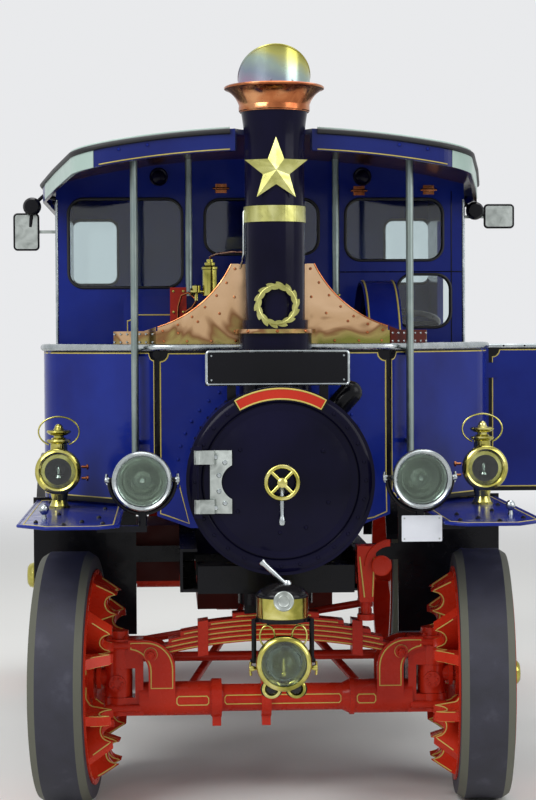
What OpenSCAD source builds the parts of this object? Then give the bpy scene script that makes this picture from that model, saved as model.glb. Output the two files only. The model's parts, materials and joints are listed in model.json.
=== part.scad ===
// Overtype steam road tractor: locomotive boiler in front, engine above it, cab behind.
// X is to the right of a viewer facing the machine, +Y runs to its rear and +Z is up.
// All sizes are millimetres. Heights are measured from the ground under the wheels and
// lengths from the front axle; place() then moves the origin to the towing pin.

/* [Wheels] */
// Distance from the front to the rear axle
wheelbase = 2400; // [2380:10:2600]
// Outside diameter of a front tyre
front_tyre_d = 864; // [800:2:900]
// Width of a front tyre
front_tyre_w = 178; // [160:2:184]
// Distance between the middles of the front tyres
front_track = 1428; // [1420:2:1450]
// Depth of a front tyre's rubber
front_tyre_depth = 62; // [50:1:70]
// Number of forked spokes in a front wheel
front_spokes = 6; // [5:1:7]
// Outside diameter of a rear tyre
rear_tyre_d = 1016; // [960:2:1040]
// Width of each of the twin rear tyres
rear_tyre_w = 150; // [120:2:155]
// Gap between the twin tyres
rear_tyre_gap = 20; // [10:1:30]
// Distance between the middles of the rear pairs
rear_track = 1570; // [1560:2:1620]
// Depth of a rear tyre's rubber
rear_tyre_depth = 78; // [50:1:90]
// Number of forked spokes in a rear wheel
rear_spokes = 8; // [6:1:9]
// Width of the bevel on each tyre's shoulders
bevel_w = 25; // [10:1:32]
// Height of the bevel on each tyre's shoulders
bevel_h = 16; // [8:1:24]

/* [Front axle] */
// Height of the middle of the axle beam
beam_z = 353; // [330:1:370]
// Diameter of the axle beam at its middle
beam_d = 94; // [84:1:104]
// Diameter of the axle beam outside its collars
beam_end_d = 118; // [108:1:124]
// Distance of each kingpin from the middle
kingpin_x = 545; // [535:1:555]
// Diameter of each kingpin
kingpin_d = 44; // [36:1:50]
// Angle of the front wheels as parked, towards the viewer's left
steer_at_rest = 4.5; // [0:0.5:10]
// Length of each steering arm
arm_len = 150; // [140:2:154]
// Distance of each spring pin from the middle
spring_pin_x = 433; // [425:1:440]
// Height of each spring pin
spring_pin_z = 516; // [505:1:525]
// Thickness of one spring leaf
leaf_t = 17; // [14:1:18]
// Width of the spring leaves
leaf_w = 76; // [60:1:80]
// Height of the underside of the spring at the middle
spring_low_z = 556; // [550:1:560]
// Underside of the fork's upper jaw
jaw_high_z = 466; // [462:1:470]
// Top of the fork's lower jaw
jaw_low_z = 364; // [358:1:366]
// Position of the steering shaft to the right of the middle
shaft_x = 310; // [304:1:318]
// Position of the steering shaft behind the front axle
shaft_y = -65; // [-70:1:-60]

/* [Frame] */
// Height of the middle of the frame rails
rail_z = 800; // [780:5:815]
// Height of each frame rail
rail_h = 150; // [120:5:160]
// Distance of each rail's outer face from the middle
rail_x = 330; // [320:1:335]
// Front end of the rails
rail_front_y = -30; // [-34:1:-24]
// Rear end of the rails
rail_end_y = 3080; // [3060:10:3150]
// Distance of the towing pin behind the front axle
tow_y = 3190; // [3170:5:3250]
// Height of the towing pin's middle
tow_z = 570; // [540:5:600]
// Radius of the towing pin hole
tow_pin_r = 19; // [12:1:22]

/* [Boiler] */
// Height of the middle of the boiler and smokebox
boiler_z = 1134; // [1120:1:1150]
// Outside diameter of the smokebox
smokebox_d = 600; // [580:2:610]
// Outside diameter of the smokebox's front ring
ring_d = 620; // [612:2:640]
// Diameter of the smokebox door
smokebox_door_d = 504; // [480:2:510]
// Outside diameter of the boiler barrel
barrel_d = 540; // [500:2:560]
// Front face of the smokebox ring
smokebox_front_y = -400; // [-410:1:-390]
// Rear end of the smokebox
smokebox_rear_y = 150; // [140:1:160]
// Front of the firebox
firebox_y0 = 760; // [740:5:780]
// Rear of the firebox
firebox_y1 = 1300; // [1250:5:1350]
// Rear end of the bunker and tank
bunker_y1 = 3010; // [2960:10:3040]

/* [Chimney] */
// Distance of the chimney's middle behind the front axle
chimney_y = -100; // [-110:1:-90]
// Diameter of the chimney barrel
chimney_d = 204; // [194:1:210]
// Diameter across the flare below the cap
chimney_top_d = 226; // [218:1:230]
// Height of the flare below the cap
flare_h = 120; // [80:5:125]
// Height of the foot of the chimney barrel
chimney_low_z = 1618; // [1610:1:1625]
// Height of the top of the chimney barrel
chimney_top_z = 2368; // [2340:1:2390]
// Diameter across the rim of the copper cap
cap_d = 334; // [310:2:340]
// Height of the copper cap
cap_h = 85; // [70:1:95]
// Diameter of the cowl
cowl_d = 244; // [230:1:246]
// Height of the cowl's front above the cap
cowl_h = 131; // [110:1:150]
// Height of the cowl's sides above the cap
cowl_side_h = 36; // [24:1:60]
// Depth of the middle of the star below the chimney's top
star_drop = 203; // [190:1:215]
// Distance from the middle of the star to its points
star_r = 111; // [96:1:116]
// Depth of the brass band's top below the chimney's top
band_drop = 320; // [318:1:330]
// Height of the middle of the wreath above the chimney's foot
wreath_rise = 95; // [90:1:105]

/* [Apron] */
// Height of the apron's top edge
apron_top_z = 1574; // [1560:1:1590]
// Height of the apron's bottom edge
apron_low_z = 1015; // [1010:1:1040]
// Half width of the apron's flat middle
apron_mid_x = 408; // [400:1:415]
// Position of the apron's flat middle
apron_y = 50; // [40:1:60]
// Thickness of the body sheets with their framing
sheet_t = 12; // [8:1:16]
// Half width over the body sides
body_x = 830; // [822:1:836]
// Radius of the bend between the swept corners and the sides
sweep_r = 200; // [150:5:240]
// Angle between the swept corners and the sides
sweep_angle = 42; // [40:1:46]
// Front edge of the fender plates
fender_front_y = -560; // [-570:5:-540]
// Height of the fender plates
fender_z = 1000; // [990:1:1005]

/* [Cab] */
// Position of the cab's front wall
cab_front_y = 935; // [930:1:940]
// Position of the cab's rear wall
cab_rear_y = 1850; // [1840:1:1860]
// Half width of the cab above its belt
cab_x = 800; // [790:1:806]
// Thickness of the cab walls
wall_t = 28; // [20:1:32]
// Height of the cab floor's top
floor_z = 980; // [970:1:990]
// Front edge of the doorways
door_y0 = 985; // [980:1:990]
// Width of each door
door_w = 555; // [540:5:560]
// Thickness of each door
door_t = 25; // [20:1:28]
// Height of each door's bottom edge
door_low_z = 990; // [986:1:1000]

/* [Roof] */
// Height of the roof's crown
roof_z = 2322; // [2310:1:2330]
// Radius of the roof's arch
roof_arch_r = 3291; // [3200:1:3400]
// Half width of the roof
roof_x = 850; // [846:1:862]
// Front edge of the roof
roof_front_y = -60; // [-70:1:-50]
// Rear edge of the roof
roof_rear_y = 1950; // [1900:5:2000]
// Depth of the roof's edge board
valance_h = 75; // [60:1:90]
// Thickness of the roof boards
roof_t = 18; // [14:1:24]
// Radius of the poles under the roof
pole_r = 13; // [10:1:16]

/* [Engine] */
// Height of the crankshaft
crank_z = 1500; // [1490:1:1510]
// Distance of the crankshaft behind the front axle
crank_y = 618; // [610:1:625]
// Radius of the crankshaft
crank_r = 35; // [28:1:40]
// Diameter of the flywheel
flywheel_d = 580; // [560:2:588]
// Position of the flywheel's middle
flywheel_x = 422; // [418:1:428]
// Width of the flywheel's rim
flywheel_w = 84; // [70:1:88]

/* [Lamps] */
// Diameter of a headlamp's rim
headlamp_d = 185; // [170:1:190]
// Distance of each headlamp from the middle
headlamp_x = 452; // [445:1:460]
// Height of each headlamp
headlamp_z = 1144; // [1130:1:1160]
// Front of each headlamp
headlamp_y = -510; // [-520:1:-500]
// Diameter of a side lamp's rim
side_lamp_d = 156; // [140:1:160]
// Distance of each side lamp from the middle
side_lamp_x = 755; // [745:1:765]
// Height of each side lamp's middle
side_lamp_z = 1137; // [1125:1:1145]
// Diameter of the middle lamp's rim
mid_lamp_d = 172; // [160:1:176]
// Height of the middle lamp
mid_lamp_z = 555; // [550:1:560]

/* [Clearances] */
// Radial clearance between a pin or shaft and its hole
running_gap = 0.05; // [0.02:0.01:0.1]
// Gap between a knuckle and the jaws of its fork
thrust_gap = 1; // [0.5:0.5:2]
// Gap between moving pieces that pass each other
moving_gap = 6; // [5:0.5:8]
// Radial clearance of the steering rods' open right-hand pivots
open_pivot_gap = 2; // [1:0.5:4]

/* [Hidden] */
$fn = 64;
arch_facets = 720;
front_r = front_tyre_d / 2;
rear_r = rear_tyre_d / 2;
front_wheel_x = front_track / 2;
rear_wheel_x = rear_track / 2;
stub_reach = front_wheel_x - kingpin_x;
front_rim_r = front_r - front_tyre_depth;
rear_rim_r = rear_r - rear_tyre_depth;
rim_t = 18;
rim_flange = 6;
stub_r = 30;
knuckle_r = 48;
jaw_r = 52;
fork_x = kingpin_x - 72;
arm_pin_r = 12;
arm_z = 440;
arm_t = 22;
track_rod_z = 475;
drag_left_z = 525;
drag_right_z = 668;
spring_leaves = 6;
spring_top = spring_low_z + spring_leaves * leaf_t;
rail_w = 60;
rail_in = rail_x - rail_w;
rail_web = 10;
belt_z = apron_top_z;
corner_y = apron_y + (body_x - apron_mid_x) / tan(sweep_angle);
bend_reach = sweep_r * tan(sweep_angle / 2);
spring_fall = spring_low_z - spring_pin_z + leaf_t;
spring_arc_r = (spring_pin_x * spring_pin_x + spring_fall * spring_fall) / (2 * spring_fall);
firebox_half = rail_x - 68;
firebox_low_z = 640;
barrel_r = barrel_d / 2;
engine_top_z = 1760;
bunker_half = 590;
smokebox_r = smokebox_d / 2;
ring_r = ring_d / 2;
roof_centre_z = roof_z - roof_arch_r;
wheel_z = front_r;
rail_top = rail_z + rail_h / 2;
rail_low = rail_z - rail_h / 2;
door_hinge_x = body_x + 12;
door_hinge_y = door_y0 - 10;
hinge_h = 60;
hinge_z = [1100, 1440];
smokebox_hinge_x = -272;
smokebox_hinge_y = smokebox_front_y - 25;
hinge_half = 103;
dish_rise = 50;
dish_r = 720;
door_flange_t = 12;
star_z = chimney_top_z - star_drop;
band_top_z = chimney_top_z - band_drop;
wreath_z = chimney_low_z + wreath_rise;
cowl_base_z = chimney_top_z + cap_h;
drum_z = 695;
drum_y = -450;
mid_lamp_y = -540;
side_lamp_y = 120;
blue = "#1d2f7c";
red = "#c8281a";
black = "#15161a";
navy = "#191a33";
copper = "#b5683a";
brass = "#b9a24a";
steel = "#c4c8cc";
tyre_grey = "#34343f";
brown = "#5d3a22";
dark_red = "#5a1710";
clear_glass = "#a9c2c9";

// Moves the machine so that the towing pin's middle is the origin
module place() {
    translate([0, -tow_y, -tow_z]) children();
}

// A box between two corners
module block(x0, x1, y0, y1, z0, z1) {
    translate([x0, y0, z0]) cube([x1 - x0, y1 - y0, z1 - z0]);
}

// Round bars along the three axes
module bar_x(x0, x1, y, z, r) {
    translate([x0, y, z]) rotate([0, 90, 0]) cylinder(r = r, h = x1 - x0);
}
module bar_y(y0, y1, x, z, r) {
    translate([x, y0, z]) rotate([-90, 0, 0]) cylinder(r = r, h = y1 - y0);
}
module bar_z(z0, z1, x, y, r) {
    translate([x, y, z0]) cylinder(r = r, h = z1 - z0);
}

// A flat outline in X and Z, made thick along Y
module sheet_xz(y0, t) {
    translate([0, y0 + t, 0]) rotate([90, 0, 0]) linear_extrude(t) children();
}

// A flat outline in Y and Z, made thick along X
module sheet_yz(x0, t) {
    translate([x0, 0, 0]) rotate([90, 0, 90]) linear_extrude(t) children();
}

// The same piece on the right and, mirrored, on the left
module both_sides() {
    children();
    mirror([1, 0, 0]) children();
}

// Draws on the right side as written, or mirrored on the left
module on_side(side) {
    if (side < 0) mirror([1, 0, 0]) children();
    if (side > 0) children();
}

// Everything that steers, turned about its own kingpin as the machine is parked
module steered(side) {
    translate([side * kingpin_x, 0, 0]) rotate([0, 0, -steer_at_rest]) on_side(side) children();
}

// The space below the roof boards
module under_roof() {
    bar_y(roof_front_y - 200, roof_rear_y + 200, 0, roof_centre_z, roof_arch_r - roof_t, $fn = arch_facets);
}

// A round bar between two points
module rod(p, q, r) {
    d = q - p;
    translate(p) rotate([0, acos(d[2] / norm(d)), atan2(d[1], d[0])]) cylinder(r = r, h = norm(d));
}

// A rectangle with rounded corners
module round_rect(x0, x1, z0, z1, r) {
    offset(r) translate([x0 + r, z0 + r]) square([x1 - x0 - 2 * r, z1 - z0 - 2 * r]);
}

// Channel-section frame rails, open towards the middle
module frame() {
    color(black) place() both_sides() difference() {
        block(rail_in, rail_x, rail_front_y, rail_end_y, rail_low, rail_top);
        block(rail_in - 1, rail_x - rail_web, rail_front_y - 1, rail_end_y + 1, rail_low + rail_web, rail_top - rail_web);
    }
}

// Members between the rails and the headstock with its towing jaw
module cross_members() {
    member_w = 60;
    headstock_t = 25;
    jaw_half = 45;
    mouth_half = 22;
    jaw_y = rail_end_y + headstock_t;
    color(black) place() {
        for (y = [480, 1420, 1900]) difference() {
            block(-rail_in, rail_in, y, y + member_w, rail_low, rail_z);
            bar_y(y - 1, y + member_w + 1, 0, rail_z + 20, 70);
        }
        difference() {
            union() {
                block(-rail_x, rail_x, rail_end_y, jaw_y, tow_z - 60, rail_top);
                block(-60, 60, jaw_y, tow_y, tow_z - jaw_half, tow_z + jaw_half);
                bar_z(tow_z - jaw_half, tow_z + jaw_half, 0, tow_y, 60);
            }
            block(-61, 61, jaw_y + 35, tow_y + 61, tow_z - mouth_half, tow_z + mouth_half);
            bar_z(tow_z - 50, tow_z + 50, 0, tow_y, tow_pin_r);
        }
    }
}

// Axle beam with a fork round each knuckle, brackets for the spring ends and two radius rods
module front_axle() {
    fork_low = jaw_low_z - 62;
    fork_high = jaw_high_z + 100;
    // tabs that hang from the beam
    tabs = [-206, -34];
    color(red) place() {
        translate([0, 0, beam_z]) rotate([0, 90, 0]) rotate_extrude() beam_profile();
        for (x = tabs) {
            bar_x(x - 17, x + 17, 0, beam_z, beam_end_d / 2 + 8);
            block(x - 15, x + 15, -30, 30, beam_z - beam_end_d / 2 - 34, beam_z);
        }
        both_sides() {
            difference() {
                union() {
                    block(fork_x - 14, kingpin_x, 6 - jaw_r, jaw_r - 6, fork_low, fork_high);
                    bar_z(fork_low, fork_high, kingpin_x, 0, jaw_r);
                    bar_z(fork_high - 1, fork_high + 26, kingpin_x, 0, kingpin_d / 2 + 14);
                    for (z = [fork_low + 26, fork_high - 20]) bar_x(fork_x - 6, kingpin_x + 44, -jaw_r + 3, z, 13);
                }
                block(fork_x + 14, kingpin_x + jaw_r + 1, -jaw_r - 20, jaw_r + 20, jaw_low_z, jaw_high_z);
            }
            bar_z(jaw_low_z - 1, jaw_high_z + 1, kingpin_x, 0, kingpin_d / 2);
            for (y = [-60, 44]) sheet_xz(y, 16) spring_bracket_outline();
            bar_y(-68, 68, spring_pin_x, spring_pin_z, 13);
            bar_y(-72, -59, spring_pin_x, spring_pin_z, 22);
            difference() {
                rod([300, 38, beam_z + 28], [60, firebox_y0 + 12, 600], 15);
                block(-200, 200, firebox_y0 - 0.3, firebox_y0 + 60, 500, 700);
            }
        }
    }
}

// Half section of the beam along its length, with a collar where each thick end begins
module beam_profile() {
    end_r = beam_end_d / 2;
    mid_r = beam_d / 2;
    collar_r = end_r + 5;
    left = -218;
    right = 264;
    w = 8;
    taper = 34;
    polygon([[0, -fork_x], [end_r, -fork_x], [end_r, left - w], [collar_r, left - w], [collar_r, left + w],
        [end_r, left + w], [mid_r, left + taper], [mid_r, right - taper], [end_r, right - w],
        [collar_r, right - w], [collar_r, right + w], [end_r, right + w], [end_r, fork_x], [0, fork_x]]);
}

// Cheek from the beam up to the spring pin, rounded towards the middle and hollowed over the knuckle
module spring_bracket_outline() {
    in_x = spring_pin_x - 84;
    out_x = spring_pin_x + 77;
    top_z = spring_pin_z + 48;
    round_r = 101;
    hollow_r = 69;
    difference() {
        translate([in_x, beam_z]) square([out_x - in_x, top_z - beam_z]);
        difference() {
            translate([in_x - 1, top_z - round_r]) square([round_r + 1, round_r + 1]);
            translate([in_x + round_r, top_z - round_r]) circle(round_r);
        }
        translate([out_x - hollow_r, beam_z - 1]) square([hollow_r + 1, top_z - 107 - beam_z + 1]);
        translate([out_x, top_z - 107]) circle(hollow_r);
    }
}

// Leaves of the transverse spring, the shortest on top, with two clips round them
module front_spring() {
    // half length of each leaf, from the lowest up
    half_lengths = [spring_pin_x, 400, 372, 330, 236, 150];
    // middle and half width of each clip
    clips = [[-252, 18], [283, 18]];
    color(red) place() difference() {
        union() {
            for (i = [0 : spring_leaves - 1]) {
                leaf(i * leaf_t, leaf_t - 3, half_lengths[i], leaf_w);
                leaf(i * leaf_t + leaf_t - 3, 3, half_lengths[min(i + 1, spring_leaves - 1)], leaf_w - 8);
            }
            for (c = clips) intersection() {
                leaf(-30, 7 * leaf_t, abs(c[0]) + c[1], leaf_w + 14);
                block(c[0] - c[1], c[0] + c[1], -leaf_w, leaf_w, 400, 700);
            }
            both_sides() bar_y(-leaf_w / 2, leaf_w / 2, spring_pin_x, spring_pin_z, 26);
        }
        both_sides() bar_y(-leaf_w, leaf_w, spring_pin_x, spring_pin_z, 13 + running_gap);
    }
}

// One curved leaf, its underside so far above the lowest leaf's arc
module leaf(rise, t, half, w) {
    sheet_xz(-w / 2, w) intersection() {
        translate([0, spring_low_z - spring_arc_r]) difference() {
            circle(spring_arc_r + rise + t, $fn = 200);
            circle(spring_arc_r + rise, $fn = 200);
        }
        translate([-half, spring_low_z - 120]) square([2 * half, 400]);
    }
}

// Casting between the spring and the smokebox, with the shelf and hoop for the drum and lamp
module front_saddle() {
    foot_x = 110;
    foot_rear = 50;
    leg_x = mid_lamp_d / 2 + 8;
    leg_y = drum_y - 22;
    color(black) place() {
        difference() {
            union() {
                block(-rail_in, rail_in, -80, 80, rail_low, rail_z + 20);
                block(-foot_x, foot_x, -80, foot_rear, spring_top - 10, rail_top);
                bar_z(rail_low - 40, rail_low, 0, 0, foot_x + 20);
            }
            bar_y(-200, 200, 0, boiler_z, smokebox_r);
            bar_y(-200, 200, 0, spring_low_z - spring_arc_r, spring_arc_r + spring_leaves * leaf_t, $fn = 200);
        }
        block(-50, 50, drum_y, -80, drum_z - 26, drum_z - 8);
        bar_z(drum_z - 12, drum_z, 0, drum_y, 88);
        both_sides() {
            bar_z(mid_lamp_z, drum_z - 4, leg_x, leg_y, 8);
            bar_x(mid_lamp_d / 2 - 17.7, leg_x + 12, leg_y, mid_lamp_z, 8);
            rod([leg_x, leg_y, drum_z - 9], [60, drum_y, drum_z - 9], 8);
        }
    }
}

// Post for the steering shaft with the curved rib that ties it to the right-hand rail
module steering_bracket() {
    low = 694;
    high = 886;
    half = 32;
    rib_r = 86;
    color(red) place() {
        difference() {
            union() {
                sheet_xz(shaft_y - 35, 70) polygon([[shaft_x - half + 8, low], [shaft_x + half - 8, low],
                    [shaft_x + half, high - 40], [shaft_x + half, high], [shaft_x - half, high], [shaft_x - half, high - 40]]);
                sheet_xz(shaft_y - 30, 24) difference() {
                    translate([shaft_x + rib_r - 4, high - 68]) circle(rib_r);
                    translate([shaft_x + rib_r - 4, high - 68]) circle(rib_r - 20);
                    translate([shaft_x + rib_r - 4, high - 200]) square([200, 400]);
                    translate([shaft_x - 100, high - 68 - rib_r]) square([400, 40]);
                }
                bar_y(shaft_y - 46, shaft_y - 34, shaft_x + 50, high - 66, 34);
                block(shaft_x + half - 12, shaft_x + 52, shaft_y - 30, shaft_y - 6, high - 78, high - 54);
                block(shaft_x - half, rail_x, shaft_y + 34, rail_front_y, rail_z - 50, rail_z + 60);
            }
            bar_z(low - 1, high + 1, shaft_x, shaft_y, 18 + running_gap);
        }
    }
}

// Kingpin housing, stub axle, front cap and steering arm
module knuckle(side) {
    low = jaw_low_z + thrust_gap;
    top = jaw_high_z - thrust_gap;
    cap_z = (low + top) / 2;
    pin_top = side < 0 ? drag_left_z + 24 : track_rod_z + 22;
    color(red) place() steered(side) difference() {
        union() {
            bar_z(low, top, 0, 0, knuckle_r);
            bar_x(jaw_r + moving_gap, stub_reach - 96, 0, wheel_z, 44);
            bar_x(0, stub_reach + 96, 0, wheel_z, stub_r);
            bar_y(-knuckle_r - 8, 0, 0, cap_z, 28);
            block(-18, 18, 0, arm_len, arm_z - arm_t / 2, arm_z + arm_t / 2);
            bar_z(arm_z - arm_t / 2, arm_z + arm_t / 2, 0, arm_len, 26);
            bar_z(arm_z, pin_top, 0, arm_len, arm_pin_r);
        }
        bar_z(low - 1, top + 1, 0, 0, kingpin_d / 2 + running_gap);
    }
}
module knuckle_left() {
    knuckle(-1);
}
module knuckle_right() {
    knuckle(1);
}

// A steering rod's eye about its upright pin
module rod_eye(x, y, z, pin_gap) {
    difference() {
        bar_z(z - 14, z + 14, x, y, 27);
        bar_z(z - 15, z + 15, x, y, arm_pin_r + pin_gap);
    }
}

// Rod that joins the two steering arms behind the axle
module track_rod() {
    dx = arm_len * sin(steer_at_rest);
    dy = arm_len * cos(steer_at_rest);
    color(red) place() {
        bar_x(dx - kingpin_x + 22, dx + kingpin_x - 22, dy, track_rod_z, 17);
        rod_eye(dx - kingpin_x, dy, track_rod_z, running_gap);
        rod_eye(dx + kingpin_x, dy, track_rod_z, open_pivot_gap);
    }
}

// Rod from the drop arm to the left-hand steering arm
module drag_link() {
    dx = arm_len * sin(steer_at_rest);
    dy = arm_len * cos(steer_at_rest);
    left = [dx - kingpin_x, dy, drag_left_z];
    right = [dx + shaft_x, dy + shaft_y, drag_right_z];
    along = (right - left) / norm(right - left);
    color(red) place() {
        rod(left + 22 * along, right - 22 * along, 13);
        rod_eye(left[0], left[1], left[2], running_gap);
        rod_eye(right[0], right[1], right[2], open_pivot_gap);
    }
}

// Arm on the foot of the steering shaft
module drop_arm() {
    arm_top = drag_right_z - 14 - moving_gap;
    color(red) place() translate([shaft_x, shaft_y, 0]) rotate([0, 0, -steer_at_rest]) {
        bar_z(arm_top - 20, arm_top, 0, 0, 30);
        bar_z(arm_top - 20, 860, 0, 0, 18);
        block(-16, 16, 0, arm_len, arm_top - 20, arm_top);
        bar_z(arm_top - 20, arm_top, 0, arm_len, 24);
        bar_z(arm_top, drag_right_z + 20, 0, arm_len, arm_pin_r);
    }
}

// Cast front wheel: rim, forked spokes whose inner edges rise to two crests, and hub
module front_wheel(side) {
    half = front_tyre_w / 2;
    hub_out = 112;
    color(red) place() steered(side) translate([stub_reach, 0, wheel_z])
        rotate([0, 90, 0]) difference() {
            union() {
                rotate_extrude() translate([front_rim_r - rim_t, -half - rim_flange])
                    square([rim_t, 2 * (half + rim_flange)]);
                translate([0, 0, -88]) cylinder(r = 78, h = 180);
                translate([0, 0, 80]) cylinder(r = 50, h = hub_out - 80);
                intersection() {
                    for (i = [0 : front_spokes - 1]) rotate([0, 0, i * 360 / front_spokes])
                        translate([0, 0, -200]) linear_extrude(260) spoke_outline(70, front_rim_r - 2, 150, 260, 26);
                    rotate_extrude() spoke_crests();
                }
            }
            translate([0, 0, -100]) cylinder(r = stub_r + running_gap, h = 200);
        }
}

// Section of the front spokes from the hub to the rim: flat outside, two crests towards the middle
module spoke_crests() {
    rim_in = front_rim_r - rim_t + 2;
    crest = 172;
    low_r = 222;
    high_r = rim_in - 52;
    difference() {
        polygon([[60, 34], [60, -70], [150, -78], [196, -100], [low_r, -crest], [high_r, -crest],
            [rim_in, -94], [rim_in, 34]]);
        translate([(low_r + high_r) / 2, -crest]) circle((high_r - low_r) / 2 - 3);
    }
}

// One spoke that forks into two curved arms, from radius r0 to radius r1
module spoke_outline(r0, r1, bend_x, bend_r, half) {
    intersection() {
        difference() {
            circle(r1);
            circle(r0);
        }
        for (side = [-1, 1]) intersection() {
            translate([bend_x, side * (bend_r + half)]) difference() {
                circle(bend_r + half + 4, $fn = 128);
                circle(bend_r, $fn = 128);
            }
            translate([0, side > 0 ? -4 : -r1]) square([r1, r1 + 4]);
        }
    }
}
module front_wheel_left() {
    front_wheel(-1);
}
module front_wheel_right() {
    front_wheel(1);
}

// A solid tyre, turned about X, with bevelled shoulders
module tyre(outer_r, depth, w) {
    half = w / 2;
    rotate([0, 90, 0]) rotate_extrude() polygon([[outer_r - depth, -half], [outer_r - bevel_h, -half],
        [outer_r, bevel_w - half], [outer_r, half - bevel_w], [outer_r - bevel_h, half], [outer_r - depth, half]]);
}
module front_tyre(side) {
    color(tyre_grey) place() steered(side) translate([stub_reach, 0, wheel_z])
        tyre(front_r, front_tyre_depth, front_tyre_w);
}
module front_tyre_left() {
    front_tyre(-1);
}
module front_tyre_right() {
    front_tyre(1);
}

// Rear axle casing, axle boxes and the leaf springs above them
module rear_axle() {
    spring_x = 430;
    half_w = 38;
    half_l = 420;
    leaves = 5;
    axle_r = 45;
    step = 70;
    pad_z = rear_r + 75;
    color(red) place() {
        bar_x(-rear_wheel_x - 190, rear_wheel_x + 190, wheelbase, rear_r, axle_r);
        bar_x(-520, 520, wheelbase, rear_r, axle_r + 17);
        bar_x(-150, 150, wheelbase, rear_r, 170);
        bar_x(-190, 190, wheelbase, rear_r, 120);
        both_sides() {
            block(spring_x - 50, spring_x + 50, wheelbase - step, wheelbase + step, rear_r + 30, pad_z);
            for (i = [0 : leaves - 1]) block(spring_x - half_w, spring_x + half_w, wheelbase - half_l + step * i,
                wheelbase + half_l - step * i, pad_z + 14 * i, pad_z + 14 * (i + 1));
            for (y = [wheelbase - half_l, wheelbase + half_l - 40])
                block(rail_x, spring_x + half_w, y, y + 40, pad_z + 14, rail_z);
        }
    }
}

// Cast rear wheel that carries two tyres
module rear_wheel(side) {
    half = rear_tyre_w + rear_tyre_gap / 2;
    color(red) place() on_side(side) translate([rear_wheel_x, wheelbase, rear_r])
        rotate([0, 90, 0]) difference() {
            union() {
                rotate_extrude() translate([rear_rim_r - rim_t, -half - rim_flange])
                    square([rim_t, 2 * (half + rim_flange)]);
                translate([0, 0, -120]) cylinder(r = 110, h = 300);
                translate([0, 0, 180]) cylinder(r = 70, h = 24);
                for (i = [0 : rear_spokes - 1]) rotate([0, 0, i * 360 / rear_spokes])
                    translate([0, 0, 20]) linear_extrude(60) spoke_outline(100, rear_rim_r - 2, 190, 300, 26);
            }
            translate([0, 0, -200]) cylinder(r = 45 + running_gap, h = 392);
        }
}
module rear_wheel_left() {
    rear_wheel(-1);
}
module rear_wheel_right() {
    rear_wheel(1);
}
module rear_tyres(side) {
    step = (rear_tyre_w + rear_tyre_gap) / 2;
    color(tyre_grey) place() on_side(side) for (dx = [-step, step])
        translate([rear_wheel_x + dx, wheelbase, rear_r]) tyre(rear_r, rear_tyre_depth, rear_tyre_w);
}
module rear_tyres_left() {
    rear_tyres(-1);
}
module rear_tyres_right() {
    rear_tyres(1);
}

// Boiler barrel and firebox, one solid heavy mass
module boiler() {
    wrapper_r = barrel_r + 10;
    color(navy) place() {
        bar_y(smokebox_rear_y, firebox_y0, 0, boiler_z, barrel_r);
        sheet_xz(firebox_y0, firebox_y1 - firebox_y0) union() {
            translate([-firebox_half, firebox_low_z]) square([2 * firebox_half, boiler_z - firebox_low_z]);
            translate([0, boiler_z]) circle(wrapper_r);
        }
        both_sides() block(firebox_half, rail_x - rail_web, 860, 960, rail_z - 60, rail_z + 60);
    }
}

// Smokebox drum with its front ring, tube plate and hinge lugs
module smokebox() {
    door_r = smokebox_door_d / 2;
    ring_t = 60;
    shell_t = 12;
    lug_t = 14;
    color(navy) place() {
        difference() {
            union() {
                bar_y(smokebox_front_y + ring_t, smokebox_rear_y, 0, boiler_z, smokebox_r);
                bar_y(smokebox_front_y, smokebox_front_y + ring_t, 0, boiler_z, ring_r);
            }
            bar_y(smokebox_front_y + 40, smokebox_rear_y - lug_t, 0, boiler_z, smokebox_r - shell_t);
            bar_y(smokebox_front_y - 1, smokebox_front_y + 41, 0, boiler_z, door_r - 18);
            bar_z(boiler_z, boiler_z + 400, 0, chimney_y, chimney_d / 2 - 12);
        }
        for (z = [boiler_z - hinge_half - lug_t - 1, boiler_z + hinge_half + 1])
            block(smokebox_hinge_x - 14, smokebox_hinge_x + 14, smokebox_hinge_y - 14, smokebox_front_y, z, z + lug_t);
        bar_z(boiler_z - hinge_half - lug_t - 1, boiler_z + hinge_half + lug_t, smokebox_hinge_x, smokebox_hinge_y, 5);
    }
}

// The ball that the smokebox door is dished to, grown by t
module dish_ball(t) {
    translate([0, smokebox_front_y - dish_rise + dish_r, boiler_z]) sphere(r = dish_r + t, $fn = 192);
}

// Dished door that swings about the hinge on the viewer's left
module smokebox_door() {
    door_r = smokebox_door_d / 2;
    color(navy) place() difference() {
        union() {
            bar_y(smokebox_front_y - door_flange_t, smokebox_front_y - 0.5, 0, boiler_z, door_r);
            intersection() {
                dish_ball(0);
                bar_y(smokebox_front_y - dish_rise - 10, smokebox_front_y - door_flange_t, 0, boiler_z, door_r - 10);
            }
        }
        bar_z(boiler_z - hinge_half, boiler_z + hinge_half, smokebox_hinge_x, smokebox_hinge_y, 23);
    }
}

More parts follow.
